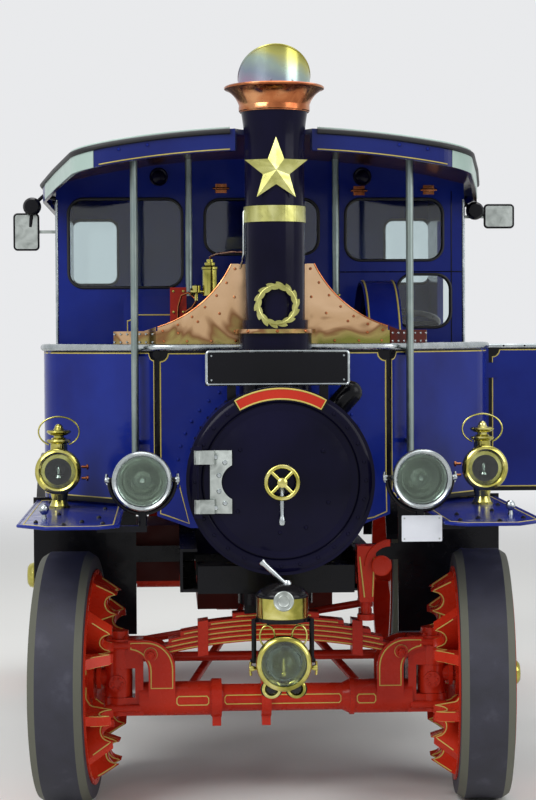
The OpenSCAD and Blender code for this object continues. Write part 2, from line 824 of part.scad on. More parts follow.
// Hinge plate with two knuckles, handwheel and locking lever on the smokebox door
module door_fittings() {
    hub_y = smokebox_front_y - dish_rise;
    plate_t = 8;
    knuckle_h = 45;
    plate_in = -161;
    plate_out = -232;
    wheel_y = hub_y - 26;
    rim_r = 52;
    color(steel) place() {
        difference() {
            union() {
                for (z = [boiler_z - hinge_half, boiler_z + hinge_half - knuckle_h]) {
                    bar_z(z, z + knuckle_h, smokebox_hinge_x, smokebox_hinge_y, 12);
                    block(smokebox_hinge_x, plate_out + 14, smokebox_hinge_y - 8, smokebox_hinge_y + 12, z, z + knuckle_h);
                }
                intersection() {
                    dish_ball(plate_t);
                    sheet_xz(hub_y - 20, dish_rise + 20 - door_flange_t) hinge_outline(plate_out, plate_in);
                }
            }
            bar_z(boiler_z - 120, boiler_z + 120, smokebox_hinge_x, smokebox_hinge_y, 5 + running_gap);
            dish_ball(0);
        }
        translate([0, wheel_y, boiler_z]) rotate([90, 0, 0]) {
            rotate_extrude() translate([rim_r, 0]) circle(6, $fn = 24);
            for (a = [45, 135]) rotate([0, 0, a]) rotate([0, 90, 0]) cylinder(r = 5, h = 2 * rim_r, center = true);
        }
        bar_y(wheel_y - 12, hub_y, 0, boiler_z, 14);
        translate([0, hub_y - 10, boiler_z - 10]) rotate([0, 180, 0]) cylinder(r = 5, h = 130);
    }
}

// Hinge plate with a waisted inner edge
module hinge_outline(x0, x1) {
    waist_r = 62;
    difference() {
        translate([x0, boiler_z - hinge_half]) square([x1 - x0, 2 * hinge_half]);
        translate([x1 + waist_r - 34, boiler_z]) circle(waist_r);
    }
}

// Barrel of the chimney with the hollow flare at its top, solid, larger all round by grow
module chimney_barrel(grow = 0) {
    r = chimney_d / 2 + grow;
    out = chimney_top_d / 2 + grow - r;
    sweep = (flare_h * flare_h + out * out) / (2 * out);
    translate([0, chimney_y, chimney_low_z]) {
        cylinder(r = r, h = chimney_top_z - chimney_low_z);
        translate([0, 0, chimney_top_z - chimney_low_z - flare_h]) rotate_extrude() difference() {
            translate([r - 10, 0]) square([out + 10, flare_h]);
            translate([r + sweep, 0]) circle(sweep, $fn = 200);
        }
    }
}

// Collar round the chimney's foot, larger by grow
module chimney_collar(grow = 0) {
    bar_z(chimney_low_z, chimney_low_z + 45 + grow, 0, chimney_y, chimney_d / 2 + 10 + grow);
}

// Chimney barrel on a skirt over the smokebox
module chimney() {
    wall = 16;
    skirt_r = chimney_d / 2 + 22;
    color(navy) place() difference() {
        union() {
            chimney_barrel();
            bar_z(1340, chimney_low_z, 0, chimney_y, skirt_r);
            chimney_collar();
        }
        bar_z(1300, chimney_top_z + 1, 0, chimney_y, chimney_d / 2 - wall);
        bar_y(-500, 500, 0, boiler_z, smokebox_r);
    }
}

// Copper cap with a hollow flare to a thin rim
module chimney_cap() {
    foot_r = chimney_top_d / 2 + 4;
    rim_h = 6;
    rise = cap_h - rim_h;
    out = cap_d / 2 - foot_r;
    sweep = (out * out + rise * rise) / (2 * out);
    color(copper) place() translate([0, chimney_y, chimney_top_z]) rotate_extrude() {
        difference() {
            translate([chimney_d / 2 - 12, 0]) square([cap_d / 2 - chimney_d / 2 + 12, rise]);
            translate([foot_r + sweep, 0]) circle(sweep, $fn = 96);
        }
        translate([chimney_d / 2 - 12, rise]) square([cap_d / 2 - chimney_d / 2 + 12, rim_h]);
    }
}

// Thin cowl, its top cut by a plane that falls to the rear
module chimney_cowl() {
    r = cowl_d / 2;
    wall = 4;
    fall = (cowl_h - cowl_side_h) / r;
    color(steel) place() translate([0, chimney_y, cowl_base_z]) difference() {
        cylinder(r = r, h = cowl_h);
        translate([0, 0, -1]) cylinder(r = r - wall, h = cowl_h + 2);
        sheet_yz(-r - 1, 2 * r + 2) polygon([[-r - 1, cowl_h + fall], [-r - 1, cowl_h + 50],
            [r + 1, cowl_h + 50], [r + 1, cowl_h - fall * (2 * r + 1)]]);
    }
}

// Ridged star, band and a plain wreath on the front of the chimney
module chimney_brass() {
    front_y = chimney_y - chimney_d / 2;
    band_h = 54;
    wreath_r = 64;
    leaves = 14;
    color(brass) place() difference() {
        union() {
            bar_z(band_top_z - band_h, band_top_z, 0, chimney_y, chimney_d / 2 + 4);
            translate([0, front_y - 2, star_z]) rotate([90, 0, 0]) {
                linear_extrude(4) star_outline();
                translate([0, 0, 4]) linear_extrude(height = 16, scale = 0.02) star_outline();
            }
            bar_y(front_y - 3, chimney_y, 0, star_z, 24);
            translate([0, front_y - 4, wreath_z]) rotate([90, 0, 0]) {
                rotate_extrude() translate([wreath_r, 0]) circle(8, $fn = 24);
                for (i = [0 : leaves - 1]) rotate([0, 0, i * 360 / leaves]) translate([wreath_r, 0, -3])
                    rotate([0, 0, 60]) linear_extrude(10) wreath_leaf();
            }
            for (z = [wreath_z - wreath_r, wreath_z + wreath_r]) bar_y(front_y - 4, chimney_y, 0, z, 10);
        }
        chimney_barrel(0.4);
        chimney_collar(0.4);
    }
}

// A leaf between two arcs
module wreath_leaf() {
    intersection() {
        translate([0, -22]) circle(32);
        translate([0, 22]) circle(32);
    }
}
module star_outline() {
    valley = star_r * 0.42;
    polygon([for (i = [0 : 9]) let (r = i % 2 == 0 ? star_r : valley) [r * sin(36 * i), r * cos(36 * i)]]);
}

// Cylinder block, motion cover and gear box above the boiler
module engine() {
    block_half = 190;
    block_y0 = 200;
    cover_y0 = 480;
    cover_y1 = 900;
    cylinder_r = 92;
    cover_left = -250;
    cover_right = 300;
    box_left = -530;
    seat_z = boiler_z + 200;
    color(blue) place() {
        difference() {
            union() {
                block(-block_half, block_half, block_y0, cover_y0 - 40, seat_z, 1600);
                for (x = [-cylinder_r, cylinder_r]) {
                    bar_y(block_y0, cover_y0 - 40, x, 1600, cylinder_r);
                    bar_y(block_y0 - 18, block_y0, x, 1600, cylinder_r - 14);
                }
            }
            bar_y(100, 800, 0, boiler_z, barrel_r);
        }
        difference() {
            union() {
                sheet_xz(cover_y0, cover_y1 - cover_y0) round_rect(cover_left, cover_right, seat_z, engine_top_z, 50);
                sheet_xz(cover_y0 + 40, cover_y1 - cover_y0 - 40)
                    round_rect(box_left, cover_left + 60, 1440, engine_top_z, 20);
            }
            bar_y(400, firebox_y0, 0, boiler_z, barrel_r);
            bar_y(firebox_y0, 1000, 0, boiler_z, barrel_r + 10);
            bar_x(-200, cover_right + 1, crank_y, crank_z, crank_r + running_gap);
        }
    }
}

// Flywheel with its holed web, keyed to the crankshaft
module flywheel() {
    r = flywheel_d / 2;
    rim_depth = 60;
    web_t = 24;
    hub_r = 60;
    holes = 6;
    color(black) place() translate([0, crank_y, crank_z]) rotate([0, 90, 0]) {
        translate([0, 0, -190]) cylinder(r = crank_r, h = flywheel_x + 240);
        translate([0, 0, flywheel_x]) {
            difference() {
                cylinder(r = r, h = flywheel_w, center = true);
                cylinder(r = r - rim_depth, h = flywheel_w + 2, center = true);
            }
            difference() {
                cylinder(r = r - rim_depth, h = web_t, center = true);
                for (i = [0 : holes - 1]) rotate([0, 0, i * 360 / holes]) translate([r * 0.52, 0, 0])
                    cylinder(r = 45, h = web_t + 2, center = true);
            }
            cylinder(r = hub_r, h = flywheel_w, center = true);
        }
    }
}

// Curved guard over the flywheel, fixed to the cab's front
module flywheel_guard() {
    inner = flywheel_d / 2 + 18;
    outer = inner + 8;
    half = 65;
    rise = 60;
    color(blue) place() {
        intersection() {
            translate([flywheel_x - half, crank_y, crank_z]) rotate([0, 90, 0]) difference() {
                cylinder(r = outer, h = 2 * half, $fn = 96);
                translate([0, 0, -1]) cylinder(r = inner, h = 2 * half + 2, $fn = 96);
            }
            block(flywheel_x - half, flywheel_x + half, 0, cab_front_y, crank_z + rise, crank_z + outer + 1);
        }
        block(flywheel_x - half, flywheel_x + half, crank_y + inner - 2, cab_front_y, crank_z + rise, crank_z + rise + 50);
    }
}

// Copper sheet behind the chimney foot, hollowed down to low bands, and the flange round the foot
module copper_plates() {
    sheet = 6;
    top_half = 145;
    top_z = 1860;
    band_z = 1628;
    hollow_r = 250;
    band_end = 560;
    color(copper) place() {
        sheet_xz(apron_y, sheet) difference() {
            translate([-apron_mid_x, apron_top_z]) square([2 * apron_mid_x, top_z - apron_top_z]);
            for (s = [-1, 1]) translate([s * (top_half + hollow_r), band_z + hollow_r]) circle(hollow_r, $fn = 96);
            for (s = [-1, 1]) translate([s * (top_half + hollow_r + 50) - 50, band_z]) square([100, 400]);
        }
        both_sides() translate([0, 0, apron_top_z]) linear_extrude(band_z - apron_top_z) intersection() {
            swept_plan(sheet);
            translate([apron_mid_x, 0]) square([band_end - apron_mid_x, 400]);
        }
        translate([0, chimney_y, chimney_low_z]) difference() {
            cylinder(r = chimney_d / 2 + 36, h = 14);
            translate([0, 0, -1]) cylinder(r = chimney_d / 2 + 10, h = 16);
        }
    }
}

// Flat blue sheet round the smokebox, its lower corners cut back
module apron_middle() {
    skirt_half = 290;
    skirt_z = apron_low_z - 75;
    color(blue) place() sheet_xz(apron_y, sheet_t) difference() {
        polygon([[-apron_mid_x, apron_top_z], [apron_mid_x, apron_top_z], [apron_mid_x, apron_low_z - 32],
            [skirt_half, skirt_z], [-skirt_half, skirt_z], [-apron_mid_x, apron_low_z - 32]]);
        translate([0, boiler_z]) circle(smokebox_r);
    }
}

// Floor plan inside the apron's right-hand swept corner, bend and side
module swept_region() {
    lean_x = bend_reach * sin(sweep_angle);
    lean_y = bend_reach * cos(sweep_angle);
    end_y = cab_front_y + 200;
    difference() {
        polygon([[0, apron_y], [apron_mid_x, apron_y], [body_x, corner_y], [body_x, end_y], [0, end_y]]);
        difference() {
            polygon([[body_x - lean_x, corner_y - lean_y], [body_x + 1, corner_y - lean_y - 1],
                [body_x + 1, corner_y + bend_reach], [body_x - sweep_r, corner_y + bend_reach]]);
            translate([body_x - sweep_r, corner_y + bend_reach]) circle(sweep_r, $fn = 180);
        }
    }
}

// Plan of a sheet so thick along that line
module swept_plan(t) {
    intersection() {
        difference() {
            swept_region();
            offset(delta = -t) swept_region();
        }
        translate([apron_mid_x, 0]) square([600, cab_front_y + wall_t]);
    }
}

// Swept corners and straight sides ahead of the doors
module apron_sides() {
    color(blue) place() both_sides() translate([0, 0, apron_low_z])
        linear_extrude(apron_top_z - apron_low_z) swept_plan(sheet_t);
}

// Bright poles from the apron and the motion cover to the roof
module roof_poles() {
    pole_x = 482;
    pole_y = apron_y + 20;
    inner_x = 284;
    inner_y = 830;
    color(steel) place() {
        intersection() {
            both_sides() {
                bar_z(1200, roof_z, pole_x, pole_y, pole_r);
                bar_z(engine_top_z, roof_z, inner_x, inner_y, pole_r);
            }
            under_roof();
        }
        both_sides() for (z = [1230, 1540]) difference() {
            block(pole_x - 12, pole_x + 12, pole_y, pole_y + 100, z, z + 16);
            translate([0, 0, z - 1]) linear_extrude(18) swept_region();
        }
    }
}

// Blank plates: one over the smokebox, one on its ring and a small one below the right headlamp
module blank_plates() {
    ring_plate_half = 31;
    plate_half = 242;
    plate_y = -246;
    arm_front = headlamp_y + 51;
    color(black) place() {
        block(-plate_half, plate_half, plate_y, plate_y + 6, 1443, 1562);
        difference() {
            for (x = [-170, 140]) block(x, x + 30, plate_y + 6, plate_y + 14, 1380, 1540);
            bar_y(-300, 0, 0, boiler_z, smokebox_r);
        }
        translate([0, smokebox_front_y, boiler_z]) rotate([90, 0, 0])
            rotate([0, 0, 90 - ring_plate_half]) rotate_extrude(angle = 2 * ring_plate_half)
                translate([ring_r - 44, 0]) square([40, 7]);
        block(388, 522, arm_front - 11, arm_front - 7, 937, 1024);
        block(480, 510, arm_front - 7, arm_front, fender_z - 22, fender_z - 6);
    }
}

// Flat fender plates over the front wheels, their front corners cut off
module front_fenders() {
    in_x = 530;
    out_x = 853;
    rear_y = 530;
    color(blue) place() both_sides() translate([0, 0, fender_z - 4]) linear_extrude(8)
        polygon([[in_x, fender_front_y + 60], [in_x + 60, fender_front_y], [out_x - 93, fender_front_y],
            [out_x, fender_front_y + 100], [out_x, rear_y], [in_x, rear_y]]);
}

// Black back plates behind the front wheels
module splash_plates() {
    color(black) place() both_sides() {
        block(490, 870, 530, 538, 500, apron_low_z);
        block(rail_x, 490, 530, 545, rail_z - 30, rail_z + 30);
    }
}

// Dark red box beside the boiler on the left
module ashpan() {
    color(dark_red) place() {
        block(-533, -rail_x, 600, 1000, 690, 900);
        block(-260, 260, firebox_y0, firebox_y1, 560, 640);
    }
}

// Cab floor with its bearers
module cab_floor() {
    hole = rail_x - 60;
    color(black) place() {
        difference() {
            block(-body_x + door_t, body_x - door_t, cab_front_y + wall_t, cab_rear_y, floor_z - 30, floor_z);
            block(-hole - 12, hole + 12, 900, firebox_y1, floor_z - 31, floor_z + 1);
        }
        both_sides() for (y = [1010, 1400, 1780]) block(rail_x - 60, rail_x, y, y + 50, rail_top, floor_z - 30);
    }
}

// Cab front wall with four windows, narrower above the belt
module cab_front() {
    hole = barrel_r + 14;
    low_half = body_x - sheet_t;
    sill_z = floor_z - 30;
    color(blue) place() intersection() {
        sheet_xz(cab_front_y, wall_t) difference() {
            union() {
                translate([-low_half, sill_z]) square([2 * low_half, belt_z - sill_z]);
                translate([-cab_x, belt_z]) square([2 * cab_x, 900]);
            }
            front_windows();
            translate([-hole, sill_z - 1]) square([2 * hole, boiler_z - sill_z + 1]);
            translate([0, boiler_z]) circle(hole);
        }
        under_roof();
    }
}

// Window openings in the front wall
module front_windows() {
    // left edge, right edge, bottom and top of each window
    windows = [[-753, -309, 1802, 2148], [-220, 226, 1930, 2146], [332, 717, 1905, 2146], [536, 748, 1641, 1850]];
    for (w = windows) round_rect(w[0], w[1], w[2], w[3], 60);
}

// Cab side: front pillar, sill, rear panel and top rail, open above the door, with the door's hinge pins
module cab_side(side) {
    low_z = floor_z - 30;
    front_y = cab_front_y + wall_t;
    gap_y0 = door_y0 - moving_gap;
    gap_y1 = door_y0 + door_w + moving_gap;
    lug_t = 9;
    color(blue) place() on_side(side) {
        intersection() {
            union() {
                sheet_yz(body_x - door_t, door_t) difference() {
                    translate([front_y, low_z]) square([cab_rear_y - front_y, belt_z - low_z]);
                    translate([gap_y0, floor_z]) square([gap_y1 - gap_y0, belt_z]);
                }
                sheet_yz(cab_x - door_t, door_t) difference() {
                    translate([front_y, belt_z - door_t]) square([cab_rear_y - front_y, 900]);
                    translate([gap_y0, floor_z]) square([gap_y1 - gap_y0, 1110]);
                }
                for (y = [[front_y, gap_y0], [gap_y1, cab_rear_y]])
                    block(cab_x - 1, body_x, y[0], y[1], belt_z - door_t, belt_z);
            }
            under_roof();
        }
        for (z = hinge_z) {
            for (lug_z = [z - lug_t - 1, z + hinge_h + 1])
                block(body_x - 1, door_hinge_x + 9, door_hinge_y - 9, gap_y0, lug_z, lug_z + lug_t);
            bar_z(z - lug_t, z + hinge_h + lug_t, door_hinge_x, door_hinge_y, 4);
        }
    }
}
module cab_side_left() {
    cab_side(-1);
}
module cab_side_right() {
    cab_side(1);
}

// Cab rear wall with two windows, narrower above the belt
module cab_rear() {
    sill_z = floor_z - 30;
    color(blue) place() intersection() {
        sheet_xz(cab_rear_y, wall_t) difference() {
            union() {
                translate([-body_x, sill_z]) square([2 * body_x, belt_z - sill_z]);
                translate([-cab_x, belt_z]) square([2 * cab_x, 900]);
            }
            rear_windows();
        }
        under_roof();
    }
}
module rear_windows() {
    low = 1838;
    high = 2118;
    for (x = [-785, 583]) round_rect(x, x + 202, low, high, 40);
}

// Panes in the front and rear walls
module cab_glass() {
    color(clear_glass) place() {
        sheet_xz(cab_front_y + 11, 5) front_windows();
        sheet_xz(cab_rear_y + 11, 5) rear_windows();
    }
}

// Arched roof with its edge board, notched round the chimney
module roof() {
    notch_r = 138;
    color(blue) place() difference() {
        roof_layer(0, 0, valance_h);
        roof_layer(14, roof_t, valance_h + 20);
        bar_z(roof_z - 200, roof_z + 10, 0, chimney_y, notch_r);
    }
}
module roof_layer(inset, top_drop, low_drop) {
    intersection() {
        translate([0, 0, roof_z - 400]) linear_extrude(500) offset(-inset) roof_plan();
        sheet_xz(roof_front_y - 200, roof_rear_y - roof_front_y + 400) intersection() {
            translate([0, roof_centre_z]) difference() {
                circle(roof_arch_r - top_drop, $fn = arch_facets);
                circle(roof_arch_r - low_drop, $fn = arch_facets);
            }
            translate([-roof_x - 50, roof_z - 400]) square([2 * roof_x + 100, 500]);
        }
    }
}
// Roof from above: rounded front corners, then sides that widen to the cab
module roof_plan() {
    round_r = 140;
    front_half = 560;
    shoulder_y = 500;
    shoulder_x = roof_x - round_r - 72;
    in_x = roof_x - round_r;
    offset(round_r) polygon([[-front_half, roof_front_y + round_r], [front_half, roof_front_y + round_r],
        [shoulder_x, shoulder_y], [in_x, cab_front_y], [in_x, roof_rear_y - round_r],
        [-in_x, roof_rear_y - round_r], [-in_x, cab_front_y], [-shoulder_x, shoulder_y]]);
    translate([-roof_x, roof_rear_y - round_r - 1]) square([2 * roof_x, round_r + 1]);
}

// Driver's and steersman's seats, lockers with a cushion each
module seats() {
    locker_top = 1360;
    front_y = 1560;
    color(brown) place() both_sides() {
        block(420, 760, front_y, cab_rear_y, floor_z, locker_top);
        sheet_yz(410, 350) offset(20) translate([front_y + 5, locker_top + 20])
            square([cab_rear_y - front_y - 25, 30]);
    }
}

// Steering column and wheel on the right
module steering_column() {
    column_l = 700;
    wheel_r = 190;
    spokes = 3;
    color(black) place() translate([555, 1150, floor_z]) {
        bar_z(0, 40, 0, 5, 60);
        rotate([-14, 0, 0]) {
            translate([0, 0, 30]) cylinder(r = 24, h = column_l - 30);
            translate([0, 0, column_l]) rotate_extrude() translate([wheel_r, 0]) circle(12, $fn = 32);
            translate([0, 0, column_l - 15]) cylinder(r = 40, h = 30);
            for (i = [0 : spokes - 1]) translate([0, 0, column_l]) rotate([0, 90, i * 180 / spokes])
                cylinder(r = 9, h = 2 * wheel_r - 6, center = true);
        }
    }
}

// A half door with its hinge knuckles, shown shut
module door_leaf() {
    difference() {
        union() {
            block(body_x - door_t, body_x, door_y0, door_y0 + door_w, door_low_z, apron_top_z);
            for (z = hinge_z) {
                bar_z(z, z + hinge_h, door_hinge_x, door_hinge_y, 9);
                block(body_x, body_x + 7, door_hinge_y, door_y0 + 90, z, z + hinge_h);
            }
        }
        bar_z(door_low_z, apron_top_z, door_hinge_x, door_hinge_y, 4 + running_gap);
    }
}
module door_left() {
    color(blue) place() mirror([1, 0, 0]) door_leaf();
}
module door_right() {
    color(blue) place() translate([door_hinge_x, door_hinge_y, 0]) rotate([0, 0, -90])
        translate([-door_hinge_x, -door_hinge_y, 0]) door_leaf();
}

// Footsteps below the doors
module steps() {
    color(black) place() both_sides() {
        block(640, 800, 1120, 1420, 590, 606);
        for (y = [1120, 1404]) block(720, 736, y, y + 16, 606, floor_z - 30);
    }
}

// Coal bunker and water tank behind the cab
module bunker() {
    low_z = rail_top + 25;
    top_z = 1480;
    front_y = cab_rear_y + wall_t;
    color(blue) place() {
        difference() {
            translate([0, 0, low_z]) linear_extrude(top_z - low_z) offset(30)
                translate([30 - bunker_half, front_y + 30]) square([2 * bunker_half - 60, bunker_y1 - front_y - 60]);
            block(-bunker_half + 30, bunker_half - 30, front_y + 20, 2400, 1000, top_z + 1);
        }
        both_sides() for (y = [front_y + 72, bunker_y1 - 160]) block(rail_in, rail_x, y, y + 60, rail_top, low_z);
    }
}

// Curved guards over the rear wheels
module rear_mudguards() {
    inner = rear_r + 52;
    sheet = 8;
    width = 365;
    color(black) place() both_sides() intersection() {
        translate([bunker_half, wheelbase, rear_r]) rotate([0, 90, 0]) difference() {
            cylinder(r = inner + sheet, h = width, $fn = 200);
            translate([0, 0, -1]) cylinder(r = inner, h = width + 2, $fn = 200);
        }
        block(bunker_half, bunker_half + width, cab_rear_y + wall_t, wheelbase + inner + sheet,
            rear_r + 120, rear_r + inner + sheet + 1);
    }
}

// A round lamp body facing forward, its mouth open for the lens
module lamp_shell(r, depth) {
    rotate([90, 0, 0]) difference() {
        lamp_bowl(r, depth);
        translate([0, 0, 28 - depth]) cylinder(r1 = r * 0.4, r2 = r * 0.8, h = depth - 40);
        translate([0, 0, -13]) cylinder(r = r - 10, h = 14);
    }
}

// The solid that a lamp body is hollowed from: a bowl behind a round bezel
module lamp_bowl(r, depth) {
    ball_r = r * 0.9;
    translate([0, 0, -16]) cylinder(r = r, h = 16);
    translate([0, 0, ball_r - depth]) intersection() {
        sphere(r = ball_r, $fn = 48);
        translate([0, 0, -ball_r]) cylinder(r = ball_r + 1, h = ball_r);
    }
    translate([0, 0, ball_r - depth]) cylinder(r = ball_r, h = depth - ball_r - 14);
}

// Headlamps in half-round forks on arms from the fenders
module headlamps() {
    r = headlamp_d / 2;
    depth = 120;
    fork_r = r + 14;
    fork_y = headlamp_y + 65;
    color(black) place() both_sides() {
        translate([headlamp_x, headlamp_y, headlamp_z]) lamp_shell(r, depth);
        translate([headlamp_x, fork_y, headlamp_z]) rotate([90, 180, 0])
            rotate_extrude(angle = 180) translate([fork_r, 0]) circle(8, $fn = 24);
        for (s = [-1, 1]) translate([headlamp_x + s * (r * 0.9 - 4), fork_y, headlamp_z]) rotate([0, 90 * s, 0])
            cylinder(r = 9, h = fork_r - r * 0.9 + 12);
        bar_z(fender_z - 24, headlamp_z - fork_r + 4, headlamp_x, fork_y, 14);
        block(headlamp_x - 14, 600, fork_y - 14, fork_y + 14, fender_z - 24, fender_z - 4);
    }
}

// Oil side lamps on pedestals, each with a vented crown of two hoods
module side_lamps() {
    r = side_lamp_d / 2;
    depth = 150;
    mid_y = side_lamp_y + 70;
    foot_z = fender_z + 4;
    top_z = side_lamp_z + r;
    color(brass) place() both_sides() {
        translate([side_lamp_x, side_lamp_y, side_lamp_z]) lamp_shell(r, depth);
        difference() {
            translate([side_lamp_x, mid_y, 0]) {
                translate([0, 0, foot_z]) cylinder(r = 38, h = 8);
                translate([0, 0, foot_z + 8]) cylinder(r1 = 34, r2 = 26, h = 20);
                translate([0, 0, foot_z + 28]) cylinder(r1 = 26, r2 = 38, h = 50);
                translate([0, 0, top_z - 30]) cylinder(r = 30, h = 50);
                translate([0, 0, top_z + 20]) cylinder(r1 = 39, r2 = 24, h = 18);
                translate([0, 0, top_z + 38]) cylinder(r = 18, h = 10);
                translate([0, 0, top_z + 48]) cylinder(r1 = 32, r2 = 16, h = 24);
                translate([0, 0, top_z + 72]) sphere(r = 15, $fn = 32);
            }
            translate([side_lamp_x, side_lamp_y, side_lamp_z]) rotate([90, 0, 0]) lamp_bowl(r, depth);
        }
    }
}

// Lamp in the middle of the front
module middle_lamp() {
    color(brass) place() translate([0, mid_lamp_y, mid_lamp_z]) lamp_shell(mid_lamp_d / 2, 100);
}

// Flat lenses in the lamp mouths
module lamp_glass() {
    lens_t = 5;
    lip = 10;
    color(clear_glass) place() {
        both_sides() {
            bar_y(headlamp_y, headlamp_y + lens_t, headlamp_x, headlamp_z, headlamp_d / 2 - lip);
            bar_y(side_lamp_y, side_lamp_y + lens_t, side_lamp_x, side_lamp_z, side_lamp_d / 2 - lip);
        }
        bar_y(mid_lamp_y, mid_lamp_y + lens_t, 0, mid_lamp_z, mid_lamp_d / 2 - lip);
    }
}

// Brass-banded drum with a domed lid on the front shelf
module brass_drum() {
    r = 84;
    band_h = 68;
    dome_h = 39;
    ball_r = (r * r + dome_h * dome_h) / (2 * dome_h);
    color(brass) place() translate([0, drum_y, drum_z]) {
        cylinder(r = r, h = band_h);
        intersection() {
            translate([0, 0, band_h + dome_h - ball_r]) sphere(r = ball_r, $fn = 64);
            translate([0, 0, band_h]) cylinder(r = r, h = dome_h + 1);
        }
    }
}

// Driving mirrors on bars from the cab front
module mirrors() {
    glass_y = cab_front_y + 5;
    arm_y = glass_y + 8;
    color(steel) place() {
        sheet_xz(glass_y, 8) round_rect(-962, -870, 1952, 2089, 12);
        block(-900, -cab_x, arm_y, arm_y + 10, 2015, 2027);
        sheet_xz(glass_y, 8) round_rect(884, 996, 2034, 2121, 12);
        block(cab_x, 910, arm_y, arm_y + 10, 2070, 2082);
    }
}

frame();
cross_members();
front_axle();
front_spring();
front_saddle();
steering_bracket();
knuckle_left();
knuckle_right();
track_rod();
drag_link();
drop_arm();
front_wheel_left();
front_wheel_right();
front_tyre_left();
front_tyre_right();
rear_axle();
rear_wheel_left();
rear_wheel_right();
rear_tyres_left();
rear_tyres_right();
boiler();
smokebox();
smokebox_door();
door_fittings();
chimney();
chimney_cap();
chimney_cowl();
chimney_brass();
engine();
flywheel();
flywheel_guard();
copper_plates();
apron_middle();
apron_sides();
roof_poles();
blank_plates();
front_fenders();
splash_plates();
ashpan();
cab_floor();
cab_front();
cab_side_left();
cab_side_right();
cab_rear();
cab_glass();
roof();
seats();
steering_column();
door_left();
door_right();
steps();
bunker();
rear_mudguards();
headlamps();
side_lamps();
middle_lamp();
lamp_glass();
brass_drum();
mirrors();
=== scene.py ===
import json
from math import cos, hypot, pi, radians, sin, sqrt, tan

import bpy
from mathutils import Matrix, Vector


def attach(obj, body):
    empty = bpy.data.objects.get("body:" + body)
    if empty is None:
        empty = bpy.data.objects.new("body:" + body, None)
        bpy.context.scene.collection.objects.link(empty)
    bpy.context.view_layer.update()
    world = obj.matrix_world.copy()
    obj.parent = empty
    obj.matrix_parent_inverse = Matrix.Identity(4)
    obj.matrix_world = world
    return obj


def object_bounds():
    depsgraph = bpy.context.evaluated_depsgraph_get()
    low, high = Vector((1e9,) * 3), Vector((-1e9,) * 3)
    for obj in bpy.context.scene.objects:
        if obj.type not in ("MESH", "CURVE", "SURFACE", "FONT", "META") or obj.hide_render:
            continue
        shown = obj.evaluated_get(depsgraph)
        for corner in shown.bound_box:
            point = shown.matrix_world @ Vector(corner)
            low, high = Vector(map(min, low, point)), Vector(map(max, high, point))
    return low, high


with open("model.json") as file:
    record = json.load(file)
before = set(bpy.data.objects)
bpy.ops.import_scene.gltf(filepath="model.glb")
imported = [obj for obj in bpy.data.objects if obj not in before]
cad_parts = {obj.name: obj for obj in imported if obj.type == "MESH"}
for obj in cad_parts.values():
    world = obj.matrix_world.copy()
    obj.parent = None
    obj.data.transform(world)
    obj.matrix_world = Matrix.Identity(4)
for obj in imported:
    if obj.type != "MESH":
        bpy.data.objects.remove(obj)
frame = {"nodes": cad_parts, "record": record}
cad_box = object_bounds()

# Sizes are millimetres from the front axle and the ground, as in the part's source; at() turns them into metres
# from the towing pin. The machine's front looks along -Y.
MM = 0.001
TOW_PIN = Vector((0.0, 3190.0, 570.0))
FRONT, REAR, UP = (0, -1, 0), (0, 1, 0), (0, 0, 1)
BOTH = (-1, 1)
SIDES = [(-1, "left"), (1, "right")]

# The camera stands to the left of the machine's middle and looks slightly down and to the right
CAMERA_PLACE = (-0.36, -10.19, 1.032)
CAMERA_YAW = 2.77
CAMERA_PITCH = 1.755
CAMERA_ROLL = 0.3
LENS_MM = 91.0


def at(x, y, z):
    """A place in millimetres as metres from the towing pin."""
    return (Vector((x, y, z)) - TOW_PIN) * MM


# ---------------------------------------------------------------- finishes


def linear(hex_text):
    """A colour written as sRGB hex, as the linear RGBA that Blender reads."""
    values = [int(hex_text[i:i + 2], 16) / 255 for i in (1, 3, 5)]
    return [v / 12.92 if v <= 0.04045 else ((v + 0.055) / 1.055) ** 2.4 for v in values] + [1.0]


def add(owner, kind, inputs=None, stops=(), **settings):
    """Adds a node of one kind with its settings to a material or world, and sets its inputs or links them. A node
    given as an input stands for its first output. A colour ramp has stops of (place, hex colour)."""
    tree = owner.node_tree
    made = tree.nodes.new("ShaderNode" + kind)
    for name, value in settings.items():
        setattr(made, name, value)
    for name, value in (inputs or {}).items():
        if isinstance(value, bpy.types.Node):
            value = value.outputs[0]
        if isinstance(value, bpy.types.NodeSocket):
            tree.links.new(value, made.inputs[name])
        else:
            made.inputs[name].default_value = value
    for i, (place, colour) in enumerate(stops):
        ramp = made.color_ramp.elements
        stop = ramp[i] if i < len(ramp) else ramp.new(place)
        stop.position = place
        stop.color = linear(colour)
    return made


def start(name):
    """An empty material, with where each point of a piece is, in metres, and which way it faces."""
    made = bpy.data.materials.new(name)
    made.use_nodes = True
    made.node_tree.nodes.clear()
    coords = add(made, "TexCoord")
    return made, coords.outputs["Object"], coords.outputs["Normal"]


def shaded(made, inputs):
    """Ends a material with one shader."""
    add(made, "OutputMaterial", {"Surface": add(made, "BsdfPrincipled", inputs)})
    return made


